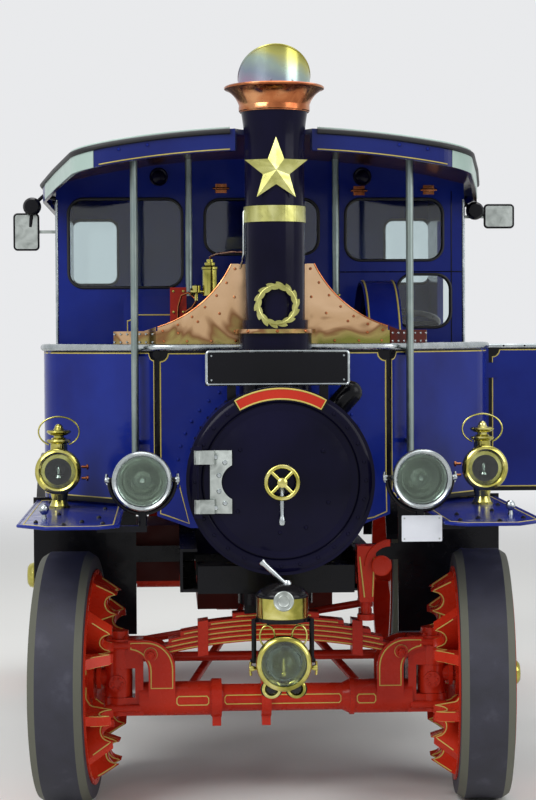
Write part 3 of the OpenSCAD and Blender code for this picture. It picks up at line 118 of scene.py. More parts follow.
def enamel(name, deep, bright, rough=0.2, coat=0.06, shine=0.14):
    """Coach enamel, brushed on and varnished: a deep colour with slow cloudy shade, polishing swirls of about
    40 mm that show only in the gloss, and a grey-brown tint where a face looks up, part road dust and part painted sky
    sheen."""
    made, spot, facing = start(name)
    cloud = add(made, "TexNoise", {"Vector": spot, "Scale": 3.0, "Detail": 4.0})
    swirl = add(made, "TexNoise", {"Vector": spot, "Scale": 26.0, "Detail": 6.0})
    colour = add(made, "ValToRGB", {"Fac": cloud}, [(0.3, deep), (0.7, bright)])
    split = add(made, "SeparateXYZ", {"Vector": facing})
    # Faces that look up are mixed towards grey-brown: a little road dust and a painted sheen of the sky
    upward = add(made, "MapRange", {"Value": split.outputs["Z"], "From Min": 0.5, "From Max": 1.0, "To Max": 0.1})
    dust_and_painted_sheen = add(made, "Math", {0: upward, 1: swirl}, operation="MULTIPLY")
    colour = add(made, "Mix", {0: dust_and_painted_sheen, 6: colour, 7: linear("#6f685a")}, data_type="RGBA")
    gloss = add(made, "MapRange", {"Value": swirl, "From Min": 0.3, "From Max": 0.7, "To Min": rough - 0.05,
                                   "To Max": rough + 0.09})
    bump = add(made, "Bump", {"Height": swirl, "Strength": 0.04, "Distance": 0.002})
    return shaded(made, {"Base Color": colour.outputs[2], "Roughness": gloss, "Normal": bump, "Coat Weight": coat,
                         "Coat Roughness": 0.06, "Specular IOR Level": shine})


def polished(name, colours, rough=0.18, patch=9.0, dent=0.05):
    """Polished sheet or cast metal: tones that drift where the polish has worn thin, in patches of about a tenth
    of a metre, rubbing marks in the gloss and a surface that is slightly uneven."""
    made, spot, _ = start(name)
    drift = add(made, "TexNoise", {"Vector": spot, "Scale": patch, "Detail": 5.0, "Distortion": 1.2})
    rub = add(made, "TexNoise", {"Vector": spot, "Scale": 60.0, "Detail": 4.0})
    even = add(made, "TexNoise", {"Vector": spot, "Scale": 14.0, "Detail": 1.0})
    colour = add(made, "ValToRGB", {"Fac": drift}, zip((0.3, 0.5, 0.7), colours))
    gloss = add(made, "MapRange", {"Value": rub, "From Min": 0.3, "From Max": 0.7, "To Min": rough - 0.06,
                                   "To Max": rough + 0.1})
    bump = add(made, "Bump", {"Height": even, "Strength": dent, "Distance": 0.02})
    return shaded(made, {"Base Color": colour, "Metallic": 1.0, "Roughness": gloss, "Normal": bump})


def copper_sheet(name):
    """Planished copper sheet: peach pink where it is freshly rubbed, going brown and olive towards the bottom
    edge where heat and rain have reached it, with long soft dents."""
    made, spot, _ = start(name)
    split = add(made, "SeparateXYZ", {"Vector": spot})
    drift = add(made, "TexNoise", {"Vector": spot, "Scale": 5.0, "Detail": 2.0, "Distortion": 1.4})
    low = add(made, "MapRange", {"Value": split.outputs["Z"], "From Min": 1.02, "From Max": 1.16, "To Min": -0.22,
                                 "To Max": 0.16})
    height = add(made, "Math", {0: drift, 1: low}, operation="ADD")
    colour = add(made, "ValToRGB", {"Fac": height}, [(0.18, "#7d7c3c"), (0.34, "#a3925a"), (0.42, "#876040"),
                                                     (0.5, "#cba67e"), (0.78, "#dcb892")])
    even = add(made, "TexNoise", {"Vector": spot, "Scale": 11.0, "Detail": 1.0})
    gloss = add(made, "MapRange", {"Value": drift, "From Min": 0.3, "From Max": 0.7, "To Min": 0.3, "To Max": 0.16})
    bump = add(made, "Bump", {"Height": even, "Strength": 0.12, "Distance": 0.03})
    return shaded(made, {"Base Color": colour, "Metallic": 1.0, "Roughness": gloss, "Normal": bump})


def heat_tinted(name):
    """Thin steel sheet that the exhaust has tinted: straw and olive along the top rim, blue grey across the
    middle and a lilac cast low on the left."""
    made, spot, _ = start(name)
    split = add(made, "SeparateXYZ", {"Vector": spot})
    blur = add(made, "TexNoise", {"Vector": spot, "Scale": 16.0, "Detail": 3.0})
    high = add(made, "Math", {0: split.outputs["X"], 1: 0.35, 2: split.outputs["Z"]}, operation="MULTIPLY_ADD")
    high = add(made, "Math", {0: blur, 1: 0.05, 2: high}, operation="MULTIPLY_ADD")
    level = add(made, "MapRange", {"Value": high, "From Min": 1.87, "From Max": 2.05})
    colour = add(made, "ValToRGB", {"Fac": level}, [(0.05, "#a78fa6"), (0.3, "#8d98a6"), (0.55, "#9fb0a4"),
                                                    (0.78, "#b7b56a"), (0.97, "#8f8a3c")])
    gloss = add(made, "MapRange", {"Value": blur, "To Min": 0.16, "To Max": 0.34})
    return shaded(made, {"Base Color": colour, "Metallic": 1.0, "Roughness": gloss})


def solid_rubber(name):
    """Solid tyre rubber: slate grey and slightly blue, scuffed in patches, with a dull olive bevel at each
    shoulder that the road has worn smooth."""
    made, spot, facing = start(name)
    scuff = add(made, "TexNoise", {"Vector": spot, "Scale": 9.0, "Detail": 7.0})
    grain = add(made, "TexNoise", {"Vector": spot, "Scale": 160.0, "Detail": 3.0})
    colour = add(made, "ValToRGB", {"Fac": scuff}, [(0.32, "#1e1e29"), (0.6, "#2b2b38"), (0.75, "#43434f")])
    split = add(made, "SeparateXYZ", {"Vector": facing})
    side = add(made, "Math", {0: split.outputs["X"]}, operation="ABSOLUTE")
    near = add(made, "Math", {0: side, 1: 0.54, 2: 0.2}, operation="COMPARE")
    colour = add(made, "Mix", {0: near, 6: colour, 7: linear("#55564a")}, data_type="RGBA")
    gloss = add(made, "MapRange", {"Value": scuff, "To Min": 0.5, "To Max": 0.75})
    bump = add(made, "Bump", {"Height": grain, "Strength": 0.25, "Distance": 0.002})
    return shaded(made, {"Base Color": colour.outputs[2], "Roughness": gloss, "Normal": bump})


def plate_glass(name, tint):
    """Plate or lens glass: clear with a faint tint and a trace of haze."""
    made, spot, _ = start(name)
    haze = add(made, "TexNoise", {"Vector": spot, "Scale": 5.0, "Detail": 3.0})
    gloss = add(made, "MapRange", {"Value": haze, "To Min": 0.02, "To Max": 0.05})
    return shaded(made, {"Base Color": linear(tint), "Roughness": gloss, "Transmission Weight": 1.0, "IOR": 1.45})


def roof_finish(name):
    """The roof's three faces: blue enamel on the edge board, dark dressed canvas on top with its weave drawn at
    4 mm so that it shows, and brown varnished boards of 110 mm below."""
    made, spot, facing = start(name)
    cloud = add(made, "TexNoise", {"Vector": spot, "Scale": 3.0, "Detail": 4.0})
    blue = add(made, "ValToRGB", {"Fac": cloud}, [(0.3, "#101a5c"), (0.7, "#182772")])
    split = add(made, "SeparateXYZ", {"Vector": spot})
    board = add(made, "Math", {0: split.outputs["X"], 1: 0.11}, operation="DIVIDE")
    board = add(made, "Math", {0: board}, operation="FRACT")
    seam = add(made, "Math", {0: board, 1: 0.04}, operation="LESS_THAN")
    along = add(made, "Mapping", {"Vector": spot, "Scale": (60.0, 3.0, 60.0)})
    grain = add(made, "TexNoise", {"Vector": along, "Scale": 1.0, "Detail": 5.0})
    wood = add(made, "ValToRGB", {"Fac": grain}, [(0.3, "#2a1710"), (0.7, "#4a2c1a")])
    wood = add(made, "Mix", {0: seam, 6: wood, 7: linear("#120a07")}, data_type="RGBA")
    weave = add(made, "TexWave", {"Vector": spot, "Scale": 80.0, "Distortion": 0.4})
    canvas = add(made, "ValToRGB", {"Fac": weave.outputs["Fac"]}, [(0.2, "#34363a"), (0.8, "#47494c")])
    upright = add(made, "SeparateXYZ", {"Vector": facing}).outputs["Z"]
    top = add(made, "Math", {0: upright, 1: 0.5}, operation="GREATER_THAN")
    under = add(made, "Math", {0: upright, 1: -0.5}, operation="LESS_THAN")
    colour = add(made, "Mix", {0: top, 6: blue, 7: canvas}, data_type="RGBA")
    colour = add(made, "Mix", {0: under, 6: colour.outputs[2], 7: wood.outputs[2]}, data_type="RGBA")
    gloss = add(made, "Math", {0: top, 1: 0.6, 2: 0.25}, operation="MULTIPLY_ADD")
    bump = add(made, "Bump", {"Height": grain, "Strength": 0.1, "Distance": 0.003})
    return shaded(made, {"Base Color": colour.outputs[2], "Roughness": gloss, "Normal": bump,
                         "Specular IOR Level": 0.25})


def grained(name, deep, bright, rough, scale, strength):
    """A dull surface with a fine grain: varnished wood, rubber or soot."""
    made, spot, _ = start(name)
    cloud = add(made, "TexNoise", {"Vector": spot, "Scale": 6.0, "Detail": 5.0})
    grain = add(made, "TexVoronoi", {"Vector": spot, "Scale": scale})
    colour = add(made, "ValToRGB", {"Fac": cloud}, [(0.3, deep), (0.7, bright)])
    gloss = add(made, "MapRange", {"Value": cloud, "To Min": rough - 0.1, "To Max": rough + 0.1})
    bump = add(made, "Bump", {"Height": grain, "Strength": strength, "Distance": 0.002})
    return shaded(made, {"Base Color": colour, "Roughness": gloss, "Normal": bump})


# Body and chassis paints: deep brushed coach enamel with a soft gloss; the red ones dry a little duller
BLUE = enamel("blue_coach_enamel", "#101c6c", "#182b88", 0.17)
VERMILION = enamel("vermilion_enamel", "#a41d0e", "#c5331b", 0.26)
BLACK = enamel("black_enamel", "#08080c", "#101016", 0.2)
# Smokebox enamel baked by the heat: nearly black navy that only mirrors in streaks
NAVY = enamel("navy_smokebox_enamel", "#080719", "#110f2a", 0.16, 0.03, 0.08)
# Oxide paint without varnish: dull and brownish
DARK_RED = enamel("oxide_red_paint", "#43120a", "#5c180e", 0.4, 0.0)
# Plate and roof paints: flat, clean and pale, or a weathered signal red
WHITE = enamel("white_plate_enamel", "#cfd2da", "#e0e3ea", 0.25)
PALE = enamel("pale_green_roof_paint", "#9fb5ac", "#b9cbc5", 0.35)
SIGNAL_RED = enamel("red_plate_enamel", "#a8281a", "#c23423", 0.25)
# Signwriter's enamel drawn with a long brush: pale yellow, thick enough to stand proud
LINE = enamel("yellow_lining_enamel", "#b9a64f", "#cfbf6c", 0.35)
# Cast brass rubbed bright, greenish where the cloth does not reach; the star's hammered face is paler and duller
BRASS = polished("polished_brass", ["#86823a", "#b8b05c", "#dcd58e"], 0.16)
STAR_BRASS = polished("star_brass", ["#8d8c4f", "#b3b16c", "#cfce8e"], 0.3)
# Turned and rubbed steel: cool grey with a broad soft shine
STEEL = polished("polished_steel", ["#9aa2a4", "#adb4b6", "#c3c9cb"], 0.24, 12.0)
# Drawn aluminium pole: smooth, dull and slightly green; dipped zinc: mottled and duller still
POLE = polished("dull_aluminium_pole", ["#7a8787", "#87938f", "#95a09d"], 0.36, 5.0, 0.0)
ZINC = polished("dull_zinc_plate", ["#8d938f", "#a9afab", "#b9bfbb"], 0.42, 20.0, 0.08)
# Silver plating on a spun bowl: almost a mirror, a little yellowed
SILVER = polished("silvered_reflector", ["#8f988a", "#a9b1a2", "#c6ccbf"], 0.14, 4.0, 0.02)
# Spun copper, warm and bright
COPPER = polished("polished_copper", ["#8a4a2c", "#b06a42", "#cf9468"], 0.2)
COPPER_SHEET = copper_sheet("planished_copper_sheet")
TINTED = heat_tinted("heat_tinted_steel")
TYRE = solid_rubber("solid_tyre_rubber")
# Window glass is a trace green; the small lenses are browned by smoke
GLASS = plate_glass("window_glass", "#dfe9ea")
SMOKED_GLASS = plate_glass("smoked_lamp_glass", "#6b5f58")
ROOF = roof_finish("roof_board_and_canvas")
# Planed and varnished beech boards; extruded black rubber, which also makes the roof's gutter bar black as painted
# shadow;
# lamp black on tin, rough enough to swallow the light
SEAT_WOOD = grained("brown_varnished_seat_beech", "#3a2114", "#54301d", 0.4, 240.0, 0.2)
RUBBER_AND_PAINTED_SHADOW = grained("black_rubber_and_painted_roof_shadow", "#0a0a0d", "#15151a", 0.5, 400.0, 0.2)
SOOT = grained("sooted_lamp_inside", "#1c1210", "#3a2a24", 0.6, 90.0, 0.4)

# The finishes of each slot of the record; a CAD node has its slot's first one, or its own
FINISHES = {"blue_paint": [BLUE, PALE], "red_paint": [VERMILION, SIGNAL_RED], "dark_red_paint": [DARK_RED],
            "black_paint": [BLACK, WHITE, RUBBER_AND_PAINTED_SHADOW, SOOT], "navy_paint": [NAVY], "brass": [BRASS, LINE],
            "copper": [COPPER, COPPER_SHEET], "bright_steel": [STEEL, SILVER, ZINC], "tinted_steel": [TINTED],
            "tyre_rubber": [TYRE], "clear_glass": [GLASS, SMOKED_GLASS], "seat_wood": [SEAT_WOOD]}
OWN_FINISH = {"copper_plates": COPPER_SHEET, "roof": ROOF, "chimney_brass": STAR_BRASS, "mirrors": ZINC,
              "roof_poles": POLE, "door_fittings": ZINC}
SLOT_FOR = {finish.name: slot for slot, kinds in FINISHES.items() for finish in kinds}
# The frame rails and the saddle under the smokebox come with the black_paint slot: their black is painted shade, for
# the dark under the machine
for part in frame["record"]["subparts"]:
    node = frame["nodes"][part["node"]]
    finish = OWN_FINISH.get(part["node"], FINISHES[part["material_slot"]][0])
    if not node.material_slots:
        node.data.materials.append(finish)
    for place in node.material_slots:
        place.material = finish


# ---------------------------------------------------------------- ways of making a piece


def choose(pieces):
    """Selects these pieces and nothing else, the first one active."""
    bpy.ops.object.select_all(action="DESELECT")
    for piece in pieces:
        piece.select_set(True)
    bpy.context.view_layer.objects.active = pieces[0]


def keep(piece, name, finish, body="chassis", slot=None):
    """Names a finished piece, gives it its finish and body, and leaves it at the origin; the slot is not used."""
    choose([piece])
    bpy.ops.object.transform_apply(location=True, rotation=True, scale=True)
    bpy.ops.object.shade_smooth_by_angle(angle=radians(40))
    piece.name = name
    piece.data.name = name
    piece.data.materials.clear()
    piece.data.materials.append(finish)
    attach(piece, body)
    slot or SLOT_FOR[finish.name]


def joined(pieces):
    """Several pieces made one."""
    choose(pieces)
    if len(pieces) > 1:
        bpy.ops.object.join()
    return bpy.context.object


def lines(paths, r=0.0, sides=2, closed=False):
    """Lines through points in millimetres: bare, or round bars of radius r."""
    bpy.ops.object.select_all(action="DESELECT")
    bpy.ops.curve.primitive_nurbs_path_add(location=(0, 0, 0))
    piece = bpy.context.object
    piece.data.splines.clear()
    for points in paths:
        spline = piece.data.splines.new("POLY")
        spline.points.add(len(points) - 1)
        for spot, point in zip(spline.points, points):
            spot.co = (*at(*point), 1.0)
        spline.use_cyclic_u = closed
    piece.data.dimensions = "3D"
    piece.data.bevel_depth = r * MM
    piece.data.bevel_resolution = sides
    piece.data.use_fill_caps = True
    bpy.ops.object.convert(target="MESH")
    return bpy.context.object


def spun(profile, centre, steps, axis=FRONT):
    """A shape turned about an axis from (radius, distance along it) pairs in millimetres."""
    axis = Vector(axis).normalized()
    side = axis.orthogonal().normalized()
    piece = lines([[Vector(centre) + side * r + axis * d for r, d in profile]])
    bpy.ops.object.mode_set(mode="EDIT")
    bpy.ops.mesh.select_all(action="SELECT")
    bpy.ops.mesh.spin(steps=steps, angle=2 * pi, center=at(*centre), axis=axis)
    bpy.ops.mesh.select_all(action="SELECT")
    bpy.ops.mesh.remove_doubles(threshold=0.00002)
    bpy.ops.mesh.normals_make_consistent(inside=False)
    bpy.ops.object.mode_set(mode="OBJECT")
    return piece


def spun_at(profile, places, steps, axis=FRONT):
    """The same turned shape at several places, as one piece."""
    return joined([spun(profile, place, steps, axis) for place in places])


def copies(model, places, way):
    """A copy of a model on each place. It stands on the origin along +Z and is turned to face one way; with no way,
    each place comes with its own."""
    made = []
    for place, direction in places if way is None else [(place, way) for place in places]:
        twin = model.copy()
        twin.data = model.data.copy()
        turn = Vector(UP).rotation_difference(Vector(direction)).to_matrix().to_4x4()
        twin.data.transform(Matrix.Translation(at(*place)) @ turn)
        bpy.context.scene.collection.objects.link(twin)
        made.append(twin)
    bpy.data.objects.remove(model)
    return joined(made)


def studs(places, r, rise, way=FRONT):
    """Round rivet heads."""
    head = spun([(r, -1), (r, 0.3 * rise), (0.72 * r, 0.82 * rise), (0, rise)], TOW_PIN, 10, UP)
    return copies(head, places, way)


def nuts(places, r, rise, way=FRONT):
    """Six-sided nuts with a chamfer, each with the round end of its bolt."""
    nut = spun([(r, -1), (r, 0.75 * rise), (0.84 * r, rise), (0, rise)], TOW_PIN, 6, UP)
    end = spun([(0.5 * r, 0), (0.5 * r, 1.35 * rise), (0.35 * r, 1.5 * rise), (0, 1.5 * rise)], TOW_PIN, 12, UP)
    return copies(joined([nut, end]), places, way)


def walled(piece, thick):
    """A sheet given its thickness, half to each side."""
    wall = piece.modifiers.new("wall", "SOLIDIFY")
    wall.thickness = thick * MM
    wall.offset = 0.0
    bpy.ops.object.modifier_apply(modifier="wall")
    return piece


def banded(pairs, thick, closed=True):
    """Thin sheets, each between two lines that have as many points."""
    made = []
    for pair in pairs:
        made.append(lines(pair, closed=closed))
        bpy.ops.object.mode_set(mode="EDIT")
        bpy.ops.mesh.select_all(action="SELECT")
        bpy.ops.mesh.bridge_edge_loops()
        bpy.ops.object.mode_set(mode="OBJECT")
    return walled(joined(made), thick)


def filled(loops, thick):
    """Flat sheets, each inside one closed line."""
    piece = lines(loops, closed=True)
    bpy.ops.object.mode_set(mode="EDIT")
    bpy.ops.mesh.select_all(action="SELECT")
    if len(loops) == 1:
        bpy.ops.mesh.edge_face_add()
    else:
        bpy.ops.mesh.fill()
    bpy.ops.object.mode_set(mode="OBJECT")
    return walled(piece, thick)


def sweep(first_deg, last_deg, steps):
    """Even angles from the first to the last, in radians."""
    return [radians(first_deg + (last_deg - first_deg) * i / steps) for i in range(steps + 1)]


def turns(count, first_deg=0):
    """Even angles all round a circle, in radians."""
    return sweep(first_deg, first_deg + 360, count)[:-1]


def arc(cu, cv, r, first_deg, last_deg, steps=8):
    """Points along an arc."""
    return [(cu + r * cos(a), cv + r * sin(a)) for a in sweep(first_deg, last_deg, steps)]


def between(a, b, share):
    """The point a share of the way from a to b."""
    return (a[0] + (b[0] - a[0]) * share, a[1] + (b[1] - a[1]) * share)


def panel(u0, u1, v0, v1, r, hollow=True, margin=(0, 0, 0, 0)):
    """The line round a panel, its corners hollowed or rounded, and the panel's outer edge beyond the margins (left,
    right, bottom, top), with a point for each of the line's."""
    left, right, below, above = margin
    corners = [(u0, v0), (u1, v0), (u1, v1), (u0, v1)]
    outermost = [(u0 - left, v0 - below), (u1 + right, v0 - below), (u1 + right, v1 + above), (u0 - left, v1 + above)]
    inward = [(1, 1), (-1, 1), (-1, -1), (1, -1)]
    inner, outer = [], []
    for k in range(4):
        (cu, cv), (su, sv), (ou, ov) = corners[k], inward[k], outermost[k]
        if hollow:
            bend = arc(cu, cv, r, 90 + 90 * k, 90 * k)
        else:
            bend = arc(cu + su * r, cv + sv * r, r, 180 + 90 * k, 270 + 90 * k)
        level = k % 2 == 0
        first, last = bend[0], bend[-1]
        begin = (ou, first[1]) if level else (first[0], ov)
        end = (last[0], ov) if level else (ou, last[1])
        for i, point in enumerate(bend):
            share = 2 * i / (len(bend) - 1)
            inner.append(point)
            outer.append(between(begin, (ou, ov), share) if share <= 1 else between((ou, ov), end, share - 1))
        (nu, nv), (mu, mv), (pu, _) = corners[k - 3], inward[k - 3], outermost[k - 3]
        goal = (nu + mu * r, last[1]) if level else (last[0], nv + mv * r)
        count = max(1, int(hypot(goal[0] - last[0], goal[1] - last[1]) / 45))
        for i in range(1, count):
            spot = between(last, goal, i / count)
            inner.append(spot)
            outer.append((spot[0], ov) if level else (pu, spot[1]))
    return inner, outer


def lined(name, surface, panels, body="chassis", bordered=True):
    """A painted line, slightly raised, round each panel on a surface, and the black border outside it."""
    keep(lines([[surface(u, v, -2.2) for u, v in inner] for inner, _ in panels], 3.6, closed=True), name + ".line",
         LINE, body)
    if bordered:
        pairs = [[[surface(u, v, 0.2) for u, v in loop] for loop in both] for both in panels]
        keep(banded(pairs, 1.0), name + ".border", BLACK, body)


# ---------------------------------------------------------------- sizes and surfaces that the pieces share

APRON_MID, APRON_Y, APRON_TOP = 408.0, 50.0, 1574.0
BODY_X, SWEEP_R = 830.0, 200.0
SWEEP = radians(42.0)
CORNER_Y = APRON_Y + (BODY_X - APRON_MID) / tan(SWEEP)
BEND = SWEEP_R * tan(SWEEP / 2)
RUN = hypot(BODY_X - APRON_MID, CORNER_Y - APRON_Y) - BEND
TURN = SWEEP_R * SWEEP
SIDE_END = RUN + TURN + 963.0 - (CORNER_Y + BEND)
DOOR_Y, DOOR_BEAD_Z = 987, 1566
FENDER_TOP = 1004
BOILER_Z, DOOR_FACE, DOOR_DISH_R = 1134.0, -450.0, 720
CHIMNEY_Y = -100.0
STEER = radians(4.5)
SPRING_FALL = 57.0
SPRING_R = (433 ** 2 + SPRING_FALL ** 2) / (2 * SPRING_FALL)
KINGPIN, STUB, FRONT_HUB_Z = 545.0, 169.0, 432
REAR_HUB_Y, REAR_HUB_Z = 2400, 508
ROOF_R, ROOF_TOP = 3291.0, 2322.0
BUNKER_X, BUNKER_REAR_Y, BUNKER_TOP = 590, 3010, 1480


def front_face(y):
    """A flat surface that faces the viewer: (u, v, proud) to a place."""
    return lambda u, v, proud: (u, y - proud, v)


def side_face(side, x):
    """A flat surface that faces sideways."""
    return lambda u, v, proud: (side * (x + proud), u, v)


def rear_face(y):
    """A flat surface that faces the rear."""
    return lambda u, v, proud: (u, y + proud, v)


def swept(side):
    """The side sheet's outer surface: u runs from the apron's flat middle round the corner to the cab."""
    def surface(u, v, proud):
        if u <= RUN:
            x, y, lean = APRON_MID + u * sin(SWEEP), APRON_Y + u * cos(SWEEP), SWEEP
        elif u <= RUN + TURN:
            lean = SWEEP - (u - RUN) / SWEEP_R
            x, y = BODY_X - SWEEP_R + SWEEP_R * cos(lean), CORNER_Y + BEND - SWEEP_R * sin(lean)
        else:
            x, y, lean = BODY_X, CORNER_Y + BEND + u - RUN - TURN, 0.0
        return (side * (x + proud * cos(lean)), y - proud * sin(lean), v)
    return surface


def roof_height(x):
    """Height of the roof's arch at a distance from the middle."""
    return ROOF_TOP - ROOF_R + sqrt(ROOF_R ** 2 - x * x)


def on_roof(side, points, drop):
    """Points on the roof's arch, a drop below its top."""
    return [(side * x, y, roof_height(x) - drop) for x, y in points]


def round_boiler(r, angle, y):
    """A place at a distance from the boiler's middle line."""
    return (r * cos(angle), y, BOILER_Z + r * sin(angle))


def round_chimney(r, angle, z):
    """A place at a distance from the chimney's middle line."""
    return (r * cos(angle), CHIMNEY_Y + r * sin(angle), z)


def steered(side):
    """The frame of a knuckle on its kingpin, turned as the wheels stand in the photo."""
    return Matrix.Translation((side * KINGPIN, 0, 0)) @ Matrix.Rotation(-STEER, 4, "Z")


# ---------------------------------------------------------------- apron, doors and fenders

# Panel lines with scalloped corners and black borders; the middle panel ends behind the smokebox
middle = zip(*panel(-394, 394, 1145, 1549, 28, margin=(14, 14, 4, 25)))
middle = [((394, 1100), (408, 1100))] + [pair for pair in middle if pair[0][1] > 1176] + [((-394, 1100), (-408, 1100))]
apron = front_face(APRON_Y)
keep(lines([[apron(*line, -2.2) for line, _ in middle]], 3.6), "apron_middle.line", LINE)
keep(banded([[[apron(*pair[k], 0.2) for pair in middle] for k in (0, 1)]], 1.0, False), "apron_middle.border", BLACK)
low = [[(-394, 1100), (-396, 992), (-372, 984), (-296, 956), (-330, 1090)],
       [(394, 1100), (396, 992), (350, 972), (296, 962)]]
keep(lines([[apron(u, v, -1.8) for u, v in path] for path in low], 2.8), "apron_low.line", LINE)
for side, word in SIDES:
    lined("side_panel_" + word, swept(side), [panel(12, SIDE_END - 14, 1032, 1551, 26, margin=(12, 14, 17, 23))])

# Door lines: the left door is shut and its face looks left, the right one stands open and looks forward
lined("door_left_panel", side_face(-1, BODY_X), [panel(1001, 1524, 1008, 1551, 28, margin=(16, 16, 18, 14))],
      "door_left")
lined("door_right_panel", front_face(DOOR_Y), [panel(920, 1391, 1008, 1551, 28, margin=(15, 14, 18, 14))],
      "door_right")

# Half-round beading of polished steel along the top of the apron, thinner along the doors with dark rivets
bead = [swept(-1)(u, APRON_TOP - 3, 0) for u in range(int(SIDE_END), 0, -30)]
bead += [(x, APRON_Y, APRON_TOP - 3) for x in range(-400, 401, 80)]
bead += [swept(1)(u, APRON_TOP - 3, 0) for u in range(10, int(SIDE_END) + 1, 30)]
keep(lines([bead], 13, 4), "apron_beading", STEEL)
keep(lines([[(-BODY_X, y, DOOR_BEAD_Z) for y in (DOOR_Y, 1538)]], 9, 4), "door_left_beading", STEEL, "door_left")
keep(lines([[(x, DOOR_Y, DOOR_BEAD_Z) for x in (854, 1405)]], 9, 4), "door_right_beading", STEEL, "door_right")
keep(studs([(x, DOOR_Y - 8.5, DOOR_BEAD_Z + 1) for x in range(880, 1385, 84)], 4, 2.5), "door_right_rivets", BLACK,
     "door_right")
keep(studs([(-BODY_X - 8.5, y, DOOR_BEAD_Z + 1) for y in range(1010, 1515, 84)], 4, 2.5, (-1, 0, 0)),
     "door_left_rivets", BLACK, "door_left")

# Dark buttons down the black joints between the apron's panels
keep(studs([(s * APRON_MID, APRON_Y - 4, z) for s in BOTH for z in (1228, 1306, 1384, 1462)], 5, 4), "joint_buttons",
     BLACK)
keep(spun([(9, -1), (9, 3), (14, 5), (14, 9), (0, 10)], (-406, APRON_Y, 1546), 24), "corner_cap", BLACK)

# Fender lines, beaded front edges, ball knobs and bolts
edge = [(530, 528), (530, -500), (590, -560), (760, -560), (853, -460), (853, 528)]
inset = [(546, 515), (546, -494), (597, -544), (753, -544), (837, -453), (837, 515)]
keep(lines([[(s * x, y, FENDER_TOP - 1.6) for x, y in inset] for s in BOTH], 3.2, closed=True), "fender.line", LINE)
keep(lines([[(s * x, y, FENDER_TOP - 4) for x, y in edge] for s in BOTH], 6, 3), "fender_edges", BLUE)
keep(spun_at([(0, 0), (9, 0), (8, 6), (7, 14), (11, 18), (16, 25), (17, 33), (14, 42), (7, 48), (0, 49)],
             [(s * 782, -250, FENDER_TOP - 0.5) for s in BOTH], 24, UP), "fender_knobs", STEEL)
spots = [(580, -470), (600, -250), (650, -400), (705, -500), (800, -400), (740, -120), (590, 100), (800, 120),
         (600, 400), (800, 400)]
keep(nuts([(s * x, y, FENDER_TOP) for s in BOTH for x, y in spots], 8, 6, UP), "fender_bolts", BLACK)

# ---------------------------------------------------------------- smokebox and chimney

# Rivets round the ring, apart from under its plate, then on the apron's flange and in two rows along the barrel
keep(studs([round_boiler(280, a, -405) for a in turns(28, 90)[3:26]], 6.5, 5), "ring_rivets", NAVY)
flange = sweep(-12, 188, 25)
keep(studs([round_boiler(338, a, 50) for a in flange], 6, 5), "apron_flange_rivets", BLUE)
keep(studs([(round_boiler(296, a, y), (cos(a), 0, sin(a))) for y in (-320, 10) for a in flange if abs(cos(a)) > 0.45],
           6, 9, None), "smokebox_seam_rivets", NAVY)
keep(spun([(254, -2), (259, 3), (272, 6), (286, 6), (298, 2), (305, -6), (308.5, -18)], (0, -400, BOILER_Z), 96),
     "ring_rounding", NAVY)

# Heads on the dished door's face, which is part of a ball
stays = [(36, 168), (-24, 168), (-62, 170), (-92, 166), (214, 172), (142, 170)]
keep(studs([round_boiler(r, radians(a), 270.5 - sqrt(DOOR_DISH_R ** 2 - r * r)) for a, r in stays], 7, 6),
     "door_stay_heads", NAVY, "smokebox_door")
spots = [(-214, 81), (-184, 64), (-203, 22), (-203, -30), (-184, -69), (-214, -85)]
keep(studs([(x, 262 - sqrt(DOOR_DISH_R ** 2 - x * x - z * z), BOILER_Z + z) for x, z in spots], 8.5, 6),
     "hinge_rivets", STEEL, "smokebox_door")

# Brass handwheel over the steel spindle: rim, boss and spokes
wheel = (0, DOOR_FACE - 26, BOILER_Z)
keep(joined([spun(arc(52, 0, 7.5, 0, 360, 12), wheel, 48),
             spun([(0, 20), (10, 19), (16, 14), (17, 6), (17, -14)], wheel, 24),
             lines([[round_boiler(50 * k, radians(turn), wheel[1]) for k in BOTH] for turn in (45, 135)], 6.5, 3)]),
     "brass_handwheel", BRASS, "smokebox_door")
keep(spun([(5.5, 0), (8, -4), (7, -50), (6, -88), (9, -96), (11, -108), (9, -118), (0, -120)],
          (0, DOOR_FACE - 10, BOILER_Z - 20), 20, UP), "door_lever", STEEL, "smokebox_door")

# Domed black valve at the upper right of the smokebox
out = Vector((0.66, -0.12, 0.74)).normalized()
keep(spun([(26, 0), (26, 16), (40, 20), (40, 92), (36, 108), (26, 120), (12, 127), (0, 129)],
          Vector((0, -110, BOILER_Z)) + out * 292, 32, out), "domed_valve", BLACK)

# Chimney: rod up its side, flange clamp, rolled cap rim and the joints' rivets
keep(lines([[(-114, 42, 1846), (-110, -96, 1868), (-107, -116, 1890), (-107, -116, 2030), (-101, -108, 2040)]], 4, 3),
     "chimney_rod", STEEL)
collar = [radians(a) for a in (10, 60, 120, 170, 225, 270, 315)]
keep(studs([(round_chimney(138, a, 1625), (cos(a), sin(a), 0)) for a in collar], 6, 5, None), "collar_rivets", COPPER)
keep(spun([(161, 0), (165, -4), (170, -2), (171, 3), (167, 7), (161, 6), (161, 0)], (0, CHIMNEY_Y, 2449), 72, UP),
     "cap_rim", COPPER)
keep(spun([(117, 0), (121, 4), (121, 20), (118, 26), (118, 0)], (0, CHIMNEY_Y, 2369), 64, UP), "cap_foot_ring",
     COPPER)
keep(studs([(round_chimney(122, a, 2466), (cos(a), sin(a), 0)) for a in turns(10, -170)], 4, 3, None), "cowl_rivets",
     TINTED)
keep(lines([[round_chimney(120, a, 2584 - 95 / 122 * (120 * sin(a) + 122)) for a in turns(72)]], 4, 3, True),
     "cowl_rolled_rim", TINTED)

